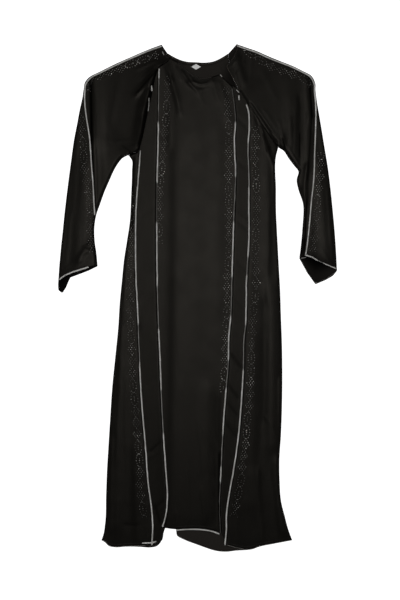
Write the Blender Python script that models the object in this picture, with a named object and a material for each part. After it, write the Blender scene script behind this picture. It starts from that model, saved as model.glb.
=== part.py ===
# Abaya cloak with raglan sleeves, laid flat on its back with the front up.
# Metres, +X to the right of the front as it is seen from above, +Y towards the neck, +Z up.
# The origin lies on the surface under it, in the middle of its outline.

import bmesh
import bpy
import math
import numpy as np

WALL = 0.0012  # thickness of the cloth
GAP = 0.0003  # air between two pieces that meet
LAYER = 0.0005  # air between two walls that lie on each other
SEAM_MARGIN = 0.006  # how far a lower panel reaches under its neighbour
PIPING = 0.0020  # radius of the silver piping
PIPING_SIDES = 1  # bevel resolution of a piping tube, six sides
PIPING_STEPS = 39  # straight stretches of a seam's piping
SETBACK = PIPING + 0.0009  # how far an upper panel's edge stands back from its piping
BINDING = 0.0015  # radius of the neck binding
LABEL_SIZE = (0.0265, 0.0155, 0.0010)  # diagonals and thickness of the label
LABEL_PLACE = (-0.004, 0.6375)

# Heights of the undersides above the surface: the lowest front panel, the strips on it and the side panels on those.
FLOOR_LEVEL = WALL + GAP
STRIP_LEVEL = FLOOR_LEVEL + WALL + LAYER
SIDE_LEVEL = STRIP_LEVEL + WALL + LAYER
SIDE_FALL = 0.08  # how fast a side panel comes down from the strip, as a slope
SIDE_FLAT = 0.012  # how far it stays level before it comes down

# Seam lines and edges from the neck end down, each row x, y.
CENTRE_LINE_LEFT = [
    (-0.1055, 0.6340), (-0.1065, 0.5790), (-0.1080, 0.4770), (-0.1090, 0.4080), (-0.1110, 0.3390),
    (-0.1120, 0.2700), (-0.1120, 0.1600), (-0.1110, 0.0500), (-0.1080, -0.0610), (-0.1030, -0.1710),
    (-0.0990, -0.2810), (-0.0930, -0.3910), (-0.0868, -0.4820), (-0.0830, -0.5480), (-0.0860, -0.5900),
    (-0.0920, -0.6170), (-0.0973, -0.6320),
]
SIDE_LINE_LEFT = [
    (-0.1250, 0.5950), (-0.1350, 0.5400), (-0.1440, 0.4770), (-0.1515, 0.4300), (-0.1570, 0.4080),
    (-0.1625, 0.3390), (-0.1680, 0.2700), (-0.1709, 0.1430), (-0.1690, 0.0440), (-0.1650, -0.0330),
    (-0.1607, -0.1460), (-0.1560, -0.2530), (-0.1510, -0.3220), (-0.1430, -0.4130), (-0.1360, -0.5100),
    (-0.1268, -0.5790), (-0.1235, -0.6230), (-0.1257, -0.6810),
]
CENTRE_LINE_RIGHT = [
    (0.0950, 0.5790), (0.1006, 0.5370), (0.1045, 0.4820), (0.1020, 0.4490), (0.1025, 0.3970),
    (0.1045, 0.3640), (0.1030, 0.2890), (0.1005, 0.2340), (0.0980, 0.1600), (0.0950, 0.0610),
    (0.0910, -0.0550), (0.0860, -0.1100), (0.0850, -0.1680), (0.0785, -0.2540), (0.0730, -0.3220),
    (0.0695, -0.3780), (0.0650, -0.4660), (0.0610, -0.5620), (0.0610, -0.6000), (0.0640, -0.6500),
]
SIDE_LINE_RIGHT = [
    (0.1085, 0.5770), (0.1220, 0.5610), (0.1340, 0.5370), (0.1390, 0.5210), (0.1422, 0.4550),
    (0.1405, 0.4330), (0.1410, 0.3640), (0.1422, 0.3200), (0.1418, 0.2670), (0.1420, 0.1600),
    (0.1395, 0.1160), (0.1350, 0.0390), (0.1345, -0.0220), (0.1328, -0.0720), (0.1280, -0.1210),
    (0.1265, -0.1960), (0.1237, -0.2480), (0.1185, -0.3220), (0.1105, -0.4020), (0.0998, -0.4730),
    (0.0865, -0.5480), (0.0800, -0.6010), (0.0800, -0.6340), (0.0760, -0.6810),
]
EDGE_LEFT = [
    (-0.1890, 0.3950), (-0.1805, 0.3800), (-0.1805, 0.3530), (-0.1833, 0.2700), (-0.1860, 0.2150),
    (-0.1940, 0.1600), (-0.2025, 0.1050), (-0.2080, 0.0500), (-0.2136, -0.0060), (-0.2190, -0.0880),
    (-0.2246, -0.1430), (-0.2356, -0.2530), (-0.2410, -0.3360), (-0.2450, -0.4000), (-0.2494, -0.4740),
    (-0.2520, -0.5430), (-0.2545, -0.6200), (-0.2605, -0.6560), (-0.2650, -0.6680),
]
EDGE_RIGHT = [
    (0.2215, 0.4130), (0.2172, 0.3950), (0.2163, 0.2970), (0.2165, 0.2420), (0.2190, 0.1870),
    (0.2219, 0.1320), (0.2246, 0.0800), (0.2274, 0.0300), (0.2300, -0.0470), (0.2329, -0.1300),
    (0.2329, -0.2950), (0.2300, -0.3780), (0.2256, -0.4470), (0.2262, -0.5020), (0.2306, -0.5620),
    (0.2402, -0.6010), (0.2504, -0.6390), (0.2612, -0.6680),
]

# Raglan edges of the front panels, from the neck down.
RAGLAN_LEFT_CENTRE = [(-0.0760, 0.6630), (-0.0870, 0.6500)]
RAGLAN_LEFT_STRIP = [(-0.1120, 0.6270), (-0.1200, 0.6100)]
RAGLAN_LEFT_SIDE = [(-0.1570, 0.4250), (-0.1640, 0.4050), (-0.1760, 0.3990)]
RAGLAN_RIGHT_CENTRE = [(0.0610, 0.6170), (0.0760, 0.5990), (0.0870, 0.5850)]
RAGLAN_RIGHT_SIDE = [
    (0.1430, 0.5320), (0.1500, 0.5180), (0.1780, 0.4770), (0.2000, 0.4440),
]

# Neckline and hems, from left to right.
FRONT_NECKLINE = [
    (-0.0760, 0.6630), (-0.0540, 0.6500), (-0.0290, 0.6280), (-0.0070, 0.6120), (0.0180, 0.6060),
    (0.0400, 0.6100), (0.0610, 0.6170),
]
BACK_NECKLINE = [
    (-0.0830, 0.6750), (-0.0700, 0.6670), (-0.0540, 0.6590), (-0.0320, 0.6520), (-0.0040, 0.6500),
    (0.0210, 0.6490), (0.0430, 0.6520), (0.0650, 0.6615), (0.0850, 0.6740),
]
HEM_CENTRE = [
    (-0.0973, -0.6320), (-0.0590, -0.6370), (-0.0210, -0.6350), (0.0210, -0.6370), (0.0450, -0.6420),
    (0.0640, -0.6500),
]
HEM_STRIP_LEFT = [(-0.1257, -0.6810), (-0.1120, -0.6710), (-0.0973, -0.6320)]
HEM_STRIP_RIGHT = [(0.0640, -0.6500), (0.0760, -0.6810)]
HEM_SIDE_LEFT = [
    (-0.2650, -0.6680), (-0.2560, -0.6730), (-0.2440, -0.6840), (-0.2250, -0.6878), (-0.2000, -0.6860),
    (-0.1580, -0.6845), (-0.1257, -0.6830),
]
HEM_SIDE_RIGHT = [
    (0.0760, -0.6810), (0.0950, -0.6865), (0.1170, -0.6920), (0.1470, -0.6935), (0.1680, -0.6860),
    (0.2080, -0.6780), (0.2612, -0.6680),
]
HEM_BACK = [
    (-0.2650, -0.6680), (-0.2560, -0.6730), (-0.2440, -0.6840), (-0.2250, -0.6878), (-0.2000, -0.6860),
    (-0.1580, -0.6865), (-0.1300, -0.6882), (-0.1110, -0.6845), (-0.0970, -0.6730), (-0.0905, -0.6560),
    (-0.0885, -0.6280), (-0.0600, -0.6280), (-0.0578, -0.6540), (-0.0370, -0.6665), (-0.0060, -0.6785),
    (0.0260, -0.6900), (0.0480, -0.6970), (0.0790, -0.7000), (0.1060, -0.6970), (0.1470, -0.6935),
    (0.1680, -0.6860), (0.2080, -0.6780), (0.2612, -0.6680),
]

# Sleeve sections from the neck to the cuff: the outer edge, the inner edge or raglan seam, how far in from
# the outer edge the overarm seam runs (0 to 1), and how far the inner edge lifts over the front panels.
# Columns: outer x, outer y, inner x, inner y, seam, lift.
SLEEVE_LEFT = [
    (-0.0990, 0.6985, -0.0800, 0.6600, 0.110, 0.0034),
    (-0.1390, 0.6835, -0.1035, 0.6365, 0.070, 0.0034),
    (-0.1830, 0.6645, -0.1210, 0.6090, 0.050, 0.0034),
    (-0.2270, 0.6450, -0.1310, 0.5700, 0.036, 0.0036),
    (-0.2690, 0.6240, -0.1405, 0.5240, 0.027, 0.0038),
    (-0.2960, 0.6105, -0.1475, 0.4740, 0.022, 0.0045),
    (-0.3095, 0.5950, -0.1585, 0.4190, 0.020, 0.0052),
    (-0.3128, 0.5790, -0.1725, 0.4020, 0.022, 0.0045),
    (-0.3170, 0.5510, -0.1915, 0.3940, 0.050, 0.0022),
    (-0.3235, 0.5220, -0.2100, 0.3830, 0.150, 0.0007),
    (-0.3315, 0.4795, -0.2285, 0.3560, 0.335, 0.0),
    (-0.3405, 0.4325, -0.2445, 0.3210, 0.497, 0.0),
    (-0.3495, 0.3665, -0.2570, 0.2920, 0.665, 0.0),
    (-0.3585, 0.2975, -0.2690, 0.2585, 0.815, 0.0),
    (-0.3660, 0.2340, -0.2795, 0.2275, 0.950, 0.0),
    (-0.3710, 0.1845, -0.2845, 0.1930, 0.955, 0.0),
    (-0.3755, 0.1430, -0.2835, 0.1570, 0.955, 0.0),
    (-0.3795, 0.0990, -0.2790, 0.1250, 0.955, 0.0),
    (-0.3838, 0.0520, -0.2755, 0.0905, 0.955, 0.0),
]
SLEEVE_RIGHT = [
    (0.1080, 0.7000, 0.0800, 0.6380, 0.070, 0.0034),
    (0.1335, 0.6910, 0.0900, 0.6230, 0.058, 0.0034),
    (0.1640, 0.6805, 0.1005, 0.5995, 0.045, 0.0034),
    (0.1945, 0.6670, 0.1158, 0.5720, 0.038, 0.0040),
    (0.2275, 0.6535, 0.1337, 0.5430, 0.032, 0.0052),
    (0.2605, 0.6405, 0.1520, 0.5155, 0.026, 0.0048),
    (0.2910, 0.6255, 0.1710, 0.4865, 0.022, 0.0032),
    (0.3130, 0.6130, 0.1890, 0.4600, 0.022, 0.0024),
    (0.3240, 0.5925, 0.2080, 0.4325, 0.022, 0.0020),
    (0.3250, 0.5705, 0.2240, 0.4150, 0.025, 0.0020),
    (0.3290, 0.5400, 0.2385, 0.4050, 0.040, 0.0007),
    (0.3350, 0.5045, 0.2520, 0.3845, 0.110, 0.0),
    (0.3425, 0.4600, 0.2665, 0.3650, 0.240, 0.0),
    (0.3505, 0.4105, 0.2785, 0.3485, 0.390, 0.0),
    (0.3588, 0.3610, 0.2735, 0.3250, 0.440, 0.0),
    (0.3658, 0.3060, 0.2790, 0.2965, 0.553, 0.0),
    (0.3718, 0.2480, 0.2920, 0.2535, 0.742, 0.0),
    (0.3778, 0.1820, 0.2890, 0.1875, 0.800, 0.0),
    (0.3815, 0.1270, 0.2850, 0.1430, 0.830, 0.0),
    (0.3840, 0.0800, 0.2810, 0.1110, 0.840, 0.0),
]
# The sleeve's lower layer starts at the back neckline instead, in its first rows.
UNDER_START_LEFT = [(-0.0830, 0.6750), (-0.1010, 0.6400)]
UNDER_START_RIGHT = [(0.0850, 0.6740), (0.0885, 0.6420), (0.0985, 0.6040)]
SLEEVE_ROWS = 27  # steps along a sleeve
LEFT_FRONT_ROWS = 21  # steps down to where the left overarm seam turns under
LEFT_APEX = 8  # section at the armhole's lowest point
RIGHT_APEX = 9
UNDER_SHARES = (1.0, 0.80, 0.57, 0.30, 0.20, 0.10, 0.0)  # columns of the lower layer, from the inner edge out
FOLD_COLUMNS = 3
OVER_COLUMNS = 6
FOLD_BULGE = 0.0008  # how far the fold at the outer edge rounds out

# How far the cuff's lower layer reaches past the upper one, from the outer edge in.
UNDER_CUFF_LEFT = [(0.0, 0.030), (0.10, 0.043), (0.20, 0.030), (0.30, 0.005), (1.0, 0.003)]
UNDER_CUFF_RIGHT = [(0.0, 0.006), (0.10, 0.022), (0.30, 0.040), (0.57, 0.060), (0.80, 0.034), (1.0, 0.002)]

# Soft folds, each a ridge from one end to the other: x, y, x, y, height and half width.
FRONT_FOLDS = [
    (-0.0070, 0.4200, -0.0120, -0.5600, 0.0030, 0.022),
    (0.0300, -0.2600, 0.0280, -0.6000, 0.0026, 0.014),
    (-0.0480, -0.0600, -0.0300, -0.6200, 0.0020, 0.014),
    (0.0560, 0.4600, 0.0560, -0.0200, 0.0016, 0.016),
    (-0.0780, 0.6350, -0.0500, 0.5200, 0.0034, 0.011),
    (-0.0350, 0.6150, 0.0020, 0.5700, 0.0030, 0.010),
    (-0.0150, 0.5900, 0.0380, 0.5950, 0.0026, 0.009),
    (0.0500, 0.5900, 0.0820, 0.5000, 0.0018, 0.013),
    (-0.2000, 0.0900, -0.2250, -0.6200, 0.0030, 0.015),
    (-0.1700, -0.4200, -0.1600, -0.6600, 0.0026, 0.012),
    (0.2030, 0.0200, 0.2050, -0.4000, 0.0034, 0.014),
    (0.1560, -0.1200, 0.1500, -0.5600, 0.0022, 0.014),
    (0.1950, 0.4100, 0.1900, 0.0800, 0.0024, 0.012),
    (0.2200, -0.4600, 0.2400, -0.6400, 0.0030, 0.012),
    (0.1550, -0.5000, 0.1750, -0.6600, 0.0024, 0.014),
]
SLEEVE_FOLDS = [
    (-0.1000, 0.6420, -0.1750, 0.5650, 0.0034, 0.011),
    (-0.1500, 0.5800, -0.2150, 0.4300, 0.0030, 0.013),
    (-0.1800, 0.4150, -0.2500, 0.4300, 0.0036, 0.012),
    (-0.2750, 0.4700, -0.2830, 0.2600, 0.0022, 0.008),
    (-0.3100, 0.3600, -0.3300, 0.1200, 0.0026, 0.012),
    (-0.2950, 0.1500, -0.3250, 0.1050, 0.0024, 0.009),
    (0.2980, 0.5700, 0.3000, 0.1500, 0.0036, 0.010),
    (0.2250, 0.4400, 0.2650, 0.5200, 0.0030, 0.012),
    (0.2400, 0.4200, 0.2950, 0.4100, 0.0026, 0.011),
    (0.1500, 0.5600, 0.2200, 0.6100, 0.0022, 0.014),
    (0.1050, 0.6600, 0.1250, 0.6000, 0.0028, 0.010),
    (0.3350, 0.3600, 0.3550, 0.1300, 0.0026, 0.012),
]

# Where the piping stands out or slips under its panel: share of its length and share of its full radius.
PIPING_SHOWS = {
    "piping_centre_left": [(0.0, 1.0), (0.10, 0.8), (0.17, 1.0), (0.23, 0.6), (0.33, 0.7), (0.36, 1.0), (0.48, 0.7),
                           (0.56, 1.0), (0.70, 0.7), (0.80, 1.0), (1.0, 1.0)],
    "piping_side_left": [(0.0, 0.6), (0.15, 0.6), (0.20, 1.0), (0.48, 1.0), (0.53, 0.65), (0.60, 0.65), (0.63, 1.0),
                         (1.0, 1.0)],
    "piping_centre_right": [(0.0, 0.6), (0.09, 1.0), (0.20, 0.8), (0.31, 1.0), (0.43, 0.7), (0.52, 1.0), (0.62, 0.7),
                            (0.70, 1.0), (0.78, 0.6), (1.0, 0.6)],
    "piping_side_right": [(0.0, 1.0), (0.09, 0.8), (0.18, 0.8), (0.20, 1.0), (0.35, 0.65), (0.40, 1.0), (0.52, 0.65),
                          (0.60, 1.0), (1.0, 1.0)],
}

CLOTH_COLOUR = (0.011, 0.010, 0.009, 1.0)
REVERSE_COLOUR = (0.030, 0.026, 0.023, 1.0)
SILVER_COLOUR = (0.46, 0.45, 0.42, 1.0)
LABEL_COLOUR = (0.78, 0.78, 0.77, 1.0)


def clear_scene():
    for thing in list(bpy.data.objects):
        bpy.data.objects.remove(thing, do_unlink=True)


def principled(name, colour, roughness, metallic):
    material = bpy.data.materials.new(name)
    material.use_nodes = True
    shader = material.node_tree.nodes["Principled BSDF"]
    shader.inputs["Base Color"].default_value = colour
    shader.inputs["Roughness"].default_value = roughness
    shader.inputs["Metallic"].default_value = metallic
    return material


def hermite(stations, values, wanted):
    # A smooth curve through the values, with slopes from their neighbours.
    stations = np.asarray(stations, float)
    values = np.asarray(values, float)
    slopes = np.gradient(values, stations, axis=0)
    place = np.clip(np.searchsorted(stations, wanted, side="right") - 1, 0, len(stations) - 2)
    step = stations[place + 1] - stations[place]
    t = ((wanted - stations[place]) / step)[:, None]
    step = step[:, None]
    start = (2 * t**3 - 3 * t**2 + 1) * values[place] + (t**3 - 2 * t**2 + t) * step * slopes[place]
    end = (3 * t**2 - 2 * t**3) * values[place + 1] + (t**3 - t**2) * step * slopes[place + 1]
    return start + end


def smooth_line(points, count):
    # Evenly spaced points on a smooth curve through the given ones.
    points = np.asarray(points, float)
    lengths = np.concatenate([[0.0], np.cumsum(np.linalg.norm(np.diff(points, axis=0), axis=1))])
    dense = hermite(lengths, points, np.linspace(0.0, lengths[-1], 12 * len(points)))
    run = np.concatenate([[0.0], np.cumsum(np.linalg.norm(np.diff(dense, axis=0), axis=1))])
    wanted = np.linspace(0.0, run[-1], count)
    return np.column_stack([np.interp(wanted, run, dense[:, axis]) for axis in (0, 1)])


def moved(points, x=0.0, y=0.0):
    return [(px + x, py + y) for px, py in points]


def relief(folds, x, y):
    # Height that the soft folds add at a place.
    height = 0.0
    for ax, ay, bx, by, top, half_width in folds:
        along_x, along_y = bx - ax, by - ay
        length = math.hypot(along_x, along_y)
        along = ((x - ax) * along_x + (y - ay) * along_y) / length
        across = ((x - ax) * along_y - (y - ay) * along_x) / length
        past = max(0.0, -along, along - length)
        height += top * math.exp(-((across / half_width) ** 2) - (past / (2 * half_width)) ** 2)
    return height


def line_x(line, y):
    # Where a seam line stands at height y.
    ys = [row[1] for row in line][::-1]
    xs = [row[0] for row in line][::-1]
    return float(np.interp(y, ys, xs))


def cloth_wall(name, columns, rows, place, material, inward=False):
    # A grid laid over the piece and thickened: place gives the point at share u across and v up.
    mesh = bpy.data.meshes.new(name)
    piece = bpy.data.objects.new(name, mesh)
    bpy.context.scene.collection.objects.link(piece)
    grid = bmesh.new()
    bmesh.ops.create_grid(grid, x_segments=columns, y_segments=rows, size=0.5)
    for vert in grid.verts:
        vert.co = place(vert.co.x + 0.5, vert.co.y + 0.5)
    grid.to_mesh(mesh)
    grid.free()
    mesh.materials.append(material)
    thicken = piece.modifiers.new("wall", "SOLIDIFY")
    thicken.thickness = WALL
    thicken.offset = -1.0 if inward else 1.0
    return piece


def front_panel(name, edges, columns, rows, level, material):
    # A front panel between its left and right edges, with the bows of its top and hem spread over it.
    left = smooth_line(edges["left"], rows + 1)[::-1]
    right = smooth_line(edges["right"], rows + 1)[::-1]
    top = smooth_line(edges["top"], columns + 1)
    hem = smooth_line(edges["hem"], columns + 1)

    def place(u, v):
        row, column = round(v * rows), round(u * columns)
        across = left[row] * (1 - u) + right[row] * u
        top_bow = top[column] - (top[0] * (1 - u) + top[-1] * u)
        hem_bow = hem[column] - (hem[0] * (1 - u) + hem[-1] * u)
        x, y = across + top_bow * v**3 + hem_bow * (1 - v) ** 3
        return x, y, level(x, y) + relief(FRONT_FOLDS, x, y)

    return cloth_wall(name, columns, rows, place, material)


def sleeve_sections(table, rows):
    # The sleeve's table as smooth sections, from the cuff up to the neck.
    values = np.array(table)
    return hermite(np.arange(len(table)), values, np.linspace(0.0, len(table) - 1.0, rows + 1))[::-1]


def under_points(table, start, rows):
    # Inner edge of the sleeve's lower layer, from the cuff up to the neck.
    inner = np.array(table)[:, 2:4]
    inner[: len(start)] = start
    return hermite(np.arange(len(table)), inner, np.linspace(0.0, len(table) - 1.0, rows + 1))[::-1]


def sleeve_top(section, share):
    # Point on top of the sleeve's lower layer at a share of the way in from the outer edge.
    outer_x, outer_y, inner_x, inner_y, _, lift = section
    x = outer_x + (inner_x - outer_x) * share
    y = outer_y + (inner_y - outer_y) * share
    edge = min(1.0, share * math.hypot(inner_x - outer_x, inner_y - outer_y) / 0.012)
    return x, y, FLOOR_LEVEL + lift * share**2 + edge * relief(SLEEVE_FOLDS, x, y)


def sleeve_back(name, table, start, cuff, material):
    # Lower layer, fold at the outer edge, and the stretch on top out to the overarm seam.
    sections = sleeve_sections(table, SLEEVE_ROWS)
    inner = under_points(table, start, SLEEVE_ROWS)
    under = len(UNDER_SHARES) - 1
    columns = under + FOLD_COLUMNS + OVER_COLUMNS
    cuff_shares = [row[0] for row in cuff]
    cuff_reach = [row[1] for row in cuff]

    def place(u, v):
        row, column = round(v * SLEEVE_ROWS), round(u * columns)
        section = sections[row]
        outer = section[:2]
        if column <= under:
            share = UNDER_SHARES[column]
            x, y = outer + (inner[row] - outer) * share
            if row == 0:
                y -= float(np.interp(share, cuff_shares, cuff_reach))
            return x, y, 0.0
        if column < under + FOLD_COLUMNS:
            turn = (column - under) / FOLD_COLUMNS
            side = 1.0 if section[0] > 0 else -1.0
            reach = cuff_reach[0] * (1 - turn) if row == 0 else 0.0
            top = sleeve_top(section, 0.0)[2] + WALL
            return section[0] + side * FOLD_BULGE * math.sin(math.pi * turn), section[1] - reach, top * turn
        share = section[4] * (column - under - FOLD_COLUMNS) / OVER_COLUMNS
        x, y, z = sleeve_top(section, share)
        return x, y, z + WALL

    wall = cloth_wall(name, columns, SLEEVE_ROWS, place, material, inward=True)
    if sections[0][0] > 0:
        flip(wall)
    return wall


def flip(piece):
    work = bmesh.new()
    work.from_mesh(piece.data)
    bmesh.ops.reverse_faces(work, faces=work.faces[:])
    work.to_mesh(piece.data)
    work.free()


def sleeve_front(name, table, first_row, columns, material):
    # From the overarm seam to the raglan seam and the inner edge.
    sections = sleeve_sections(table, SLEEVE_ROWS)
    rows = SLEEVE_ROWS - first_row
    left_side = sections[0][0] < 0

    def place(u, v):
        section = sections[first_row + round(v * rows)]
        across = u if left_side else 1 - u
        width = math.hypot(section[2] - section[0], section[3] - section[1])
        seam = section[4] + GAP / width
        return sleeve_top(section, seam + (1 - seam) * across)

    return cloth_wall(name, columns, rows, place, material)


def back_panel(material):
    # One flat panel: neckline, raglan seams, side edges and the wavy hem that shows under the front.
    right = under_points(SLEEVE_RIGHT, UNDER_START_RIGHT, SLEEVE_ROWS)[::-1]
    left = under_points(SLEEVE_LEFT, UNDER_START_LEFT, SLEEVE_ROWS)[::-1]
    right_steps = math.floor(RIGHT_APEX * SLEEVE_ROWS / (len(SLEEVE_RIGHT) - 1))
    left_steps = math.floor(LEFT_APEX * SLEEVE_ROWS / (len(SLEEVE_LEFT) - 1))
    outline = list(smooth_line(BACK_NECKLINE, 15)[1:-1])
    outline += moved(right[: right_steps + 1], -GAP, -GAP)
    outline += list(smooth_line(EDGE_RIGHT, 26))[1:]
    outline += [tuple(point) for point in HEM_BACK[::-1][1:-1]]
    outline += list(smooth_line(EDGE_LEFT, 26)[::-1])[:-1]
    outline += moved(left[: left_steps + 1][::-1], GAP, -GAP)
    mesh = bpy.data.meshes.new("back")
    piece = bpy.data.objects.new("back", mesh)
    bpy.context.scene.collection.objects.link(piece)
    work = bmesh.new()
    face = work.faces.new([work.verts.new((x, y, 0.0)) for x, y in outline])
    raised = bmesh.ops.extrude_face_region(work, geom=[face])["geom"]
    for part in raised:
        if isinstance(part, bmesh.types.BMVert):
            part.co.z = WALL
    bmesh.ops.recalc_face_normals(work, faces=work.faces[:])
    work.to_mesh(mesh)
    work.free()
    mesh.materials.append(material)
    return piece


def tube(name, points, radius, material, shares=None):
    # A piping or binding tube along points that are already its centre line.
    curve = bpy.data.curves.new(name, "CURVE")
    curve.dimensions = "3D"
    curve.bevel_depth = radius
    curve.bevel_resolution = PIPING_SIDES
    curve.use_fill_caps = True
    spline = curve.splines.new("POLY")
    spline.points.add(len(points) - 1)
    for place, point in enumerate(points):
        spline.points[place].co = (*point, 1.0)
        if shares:
            spline.points[place].radius = shares[place]
    curve.materials.append(material)
    piece = bpy.data.objects.new(name, curve)
    bpy.context.scene.collection.objects.link(piece)
    return piece


def seam_piping(name, line, level, material):
    # Piping on the lower panel, along the edge of the panel above it.
    count = PIPING_STEPS + 1
    shows = PIPING_SHOWS[name]
    shares = list(np.interp(np.linspace(0, 1, count), [row[0] for row in shows], [row[1] for row in shows]))
    points = []
    for (x, y), share in zip(smooth_line(line, count), shares):
        lift = level + WALL + LAYER + PIPING * share
        points.append((x, y, lift + relief(FRONT_FOLDS, x, y)))
    return tube(name, points, PIPING, material, shares)


def overarm_piping(name, table, first_row, material):
    # Piping over the seam between the sleeve's two pieces.
    sections = sleeve_sections(table, SLEEVE_ROWS)[first_row:]
    points = []
    for section in sections:
        x, y, z = sleeve_top(section, section[4])
        points.append((x, y, z + WALL + LAYER + PIPING))
    return tube(name, points, PIPING, material)


def cuff_piping(name, table, ends, material):
    # Piping on top along the cuff's edge.
    section = sleeve_sections(table, SLEEVE_ROWS)[0]
    points = []
    for step in range(9):
        share = ends[0] + (ends[1] - ends[0]) * step / 8
        x, y, z = sleeve_top(section, share)
        points.append((x, y + 0.001, z + WALL + LAYER + PIPING))
    return tube(name, points, PIPING, material)


def laid_tube(name, line, count, radius, surface, material):
    # A tube lying just over the surface, whose height is a function of the place.
    points = [(x, y, surface(x, y) + LAYER + radius) for x, y in smooth_line(line, count)]
    return tube(name, points, radius, material)


def sleeve_binding(name, table, material):
    # Binding on top of a sleeve's neck edge, from the overarm seam to the raglan seam.
    sections = sleeve_sections(table, SLEEVE_ROWS)
    neck, below = sections[-1], sections[-2]
    inset = BINDING / math.hypot(below[2] - neck[2], below[3] - neck[3])
    section = neck + (below - neck) * inset
    points = []
    for step in range(6):
        x, y, z = sleeve_top(section, 0.25 + 0.70 * step / 5)
        points.append((x, y, z + WALL + LAYER + BINDING))
    return tube(name, points, BINDING, material)


def label(material):
    # A bare rhombus of ribbon on the inside of the back neck.
    mesh = bpy.data.meshes.new("neck_label")
    piece = bpy.data.objects.new("neck_label", mesh)
    bpy.context.scene.collection.objects.link(piece)
    work = bmesh.new()
    bmesh.ops.create_cone(work, segments=4, radius1=0.5, radius2=0.5, depth=1.0, cap_ends=True)
    for vert in work.verts:
        vert.co.x *= LABEL_SIZE[0]
        vert.co.y *= LABEL_SIZE[1]
        vert.co.z *= LABEL_SIZE[2]
    work.to_mesh(mesh)
    work.free()
    mesh.materials.append(material)
    piece.location = (*LABEL_PLACE, FLOOR_LEVEL + LABEL_SIZE[2] / 2)
    return piece


def side_height(line, x, y):
    # A side panel lies on the strip at its seam and comes down to the back panel away from it.
    away = max(0.0, abs(x - line_x(line, y)) - SIDE_FLAT)
    return max(FLOOR_LEVEL, SIDE_LEVEL - SIDE_FALL * away)


def build():
    clear_scene()
    cloth = principled("black cloth", CLOTH_COLOUR, 0.45, 0.0)
    reverse = principled("cloth reverse", REVERSE_COLOUR, 0.7, 0.0)
    silver = principled("silver piping", SILVER_COLOUR, 0.4, 0.3)
    ribbon = principled("label ribbon", LABEL_COLOUR, 0.6, 0.0)

    back_panel(reverse)
    front_panel("centre_front", {
        "left": RAGLAN_LEFT_CENTRE + moved(CENTRE_LINE_LEFT, -SEAM_MARGIN),
        "right": RAGLAN_RIGHT_CENTRE + moved(CENTRE_LINE_RIGHT, SEAM_MARGIN),
        "top": FRONT_NECKLINE,
        "hem": HEM_CENTRE,
    }, 14, 30, lambda x, y: FLOOR_LEVEL, cloth)
    front_panel("strip_left", {
        "left": RAGLAN_LEFT_STRIP + moved(SIDE_LINE_LEFT, -SEAM_MARGIN),
        "right": moved(CENTRE_LINE_LEFT, -SETBACK),
        "top": [RAGLAN_LEFT_STRIP[0], CENTRE_LINE_LEFT[0]],
        "hem": HEM_STRIP_LEFT,
    }, 3, 30, lambda x, y: STRIP_LEVEL, cloth)
    front_panel("strip_right", {
        "left": moved(CENTRE_LINE_RIGHT, SETBACK),
        "right": moved(SIDE_LINE_RIGHT, SEAM_MARGIN),
        "top": [CENTRE_LINE_RIGHT[0], SIDE_LINE_RIGHT[0]],
        "hem": HEM_STRIP_RIGHT,
    }, 3, 30, lambda x, y: STRIP_LEVEL, cloth)
    side_left = [(-0.1515, 0.4300)] + SIDE_LINE_LEFT[4:]
    front_panel("side_front_left", {
        "left": RAGLAN_LEFT_SIDE + EDGE_LEFT,
        "right": moved(side_left, -SETBACK),
        "top": [RAGLAN_LEFT_SIDE[0], side_left[0]],
        "hem": HEM_SIDE_LEFT,
    }, 6, 28, lambda x, y: side_height(SIDE_LINE_LEFT, x, y), cloth)
    side_right = SIDE_LINE_RIGHT[2:]
    front_panel("side_front_right", {
        "left": moved(side_right, SETBACK),
        "right": RAGLAN_RIGHT_SIDE + EDGE_RIGHT,
        "top": [side_right[0], RAGLAN_RIGHT_SIDE[0]],
        "hem": HEM_SIDE_RIGHT,
    }, 7, 28, lambda x, y: side_height(SIDE_LINE_RIGHT, x, y), cloth)

    sleeve_back("sleeve_back_left", SLEEVE_LEFT, UNDER_START_LEFT, UNDER_CUFF_LEFT, cloth)
    sleeve_back("sleeve_back_right", SLEEVE_RIGHT, UNDER_START_RIGHT, UNDER_CUFF_RIGHT, cloth)
    left_front_start = SLEEVE_ROWS - LEFT_FRONT_ROWS
    sleeve_front("sleeve_front_left", SLEEVE_LEFT, left_front_start, 9, cloth)
    sleeve_front("sleeve_front_right", SLEEVE_RIGHT, 0, 9, cloth)

    seam_piping("piping_centre_left", CENTRE_LINE_LEFT[1:], FLOOR_LEVEL, silver)
    seam_piping("piping_side_left", SIDE_LINE_LEFT[4:], STRIP_LEVEL, silver)
    seam_piping("piping_centre_right", CENTRE_LINE_RIGHT[1:], FLOOR_LEVEL, silver)
    seam_piping("piping_side_right", moved(SIDE_LINE_RIGHT[3:], -0.0004), STRIP_LEVEL, silver)
    overarm_piping("piping_sleeve_left", SLEEVE_LEFT, left_front_start, silver)
    overarm_piping("piping_sleeve_right", SLEEVE_RIGHT, 1, silver)
    cuff_piping("piping_cuff_left", SLEEVE_LEFT, (0.01, 0.80), silver)
    cuff_piping("piping_cuff_right", SLEEVE_RIGHT, (0.01, 0.80), silver)
    laid_tube("piping_hem_centre", moved(HEM_CENTRE[1:-1], 0.0, -PIPING - 2 * GAP), 12, PIPING,
              lambda x, y: WALL, silver)
    laid_tube("binding_back", moved(BACK_NECKLINE, 0.0, -BINDING), 14, BINDING, lambda x, y: WALL, reverse)
    laid_tube("binding_front", moved(FRONT_NECKLINE[1:-1], 0.0, -BINDING), 14, BINDING,
              lambda x, y: FLOOR_LEVEL + WALL + relief(FRONT_FOLDS, x, y), cloth)
    sleeve_binding("binding_left", SLEEVE_LEFT, cloth)
    sleeve_binding("binding_right", SLEEVE_RIGHT, cloth)
    label(ribbon)


build()
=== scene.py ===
# Black abaya cloak laid flat with its front up: plain panels, silver piping and rows of small stones.
import math
import random

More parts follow.
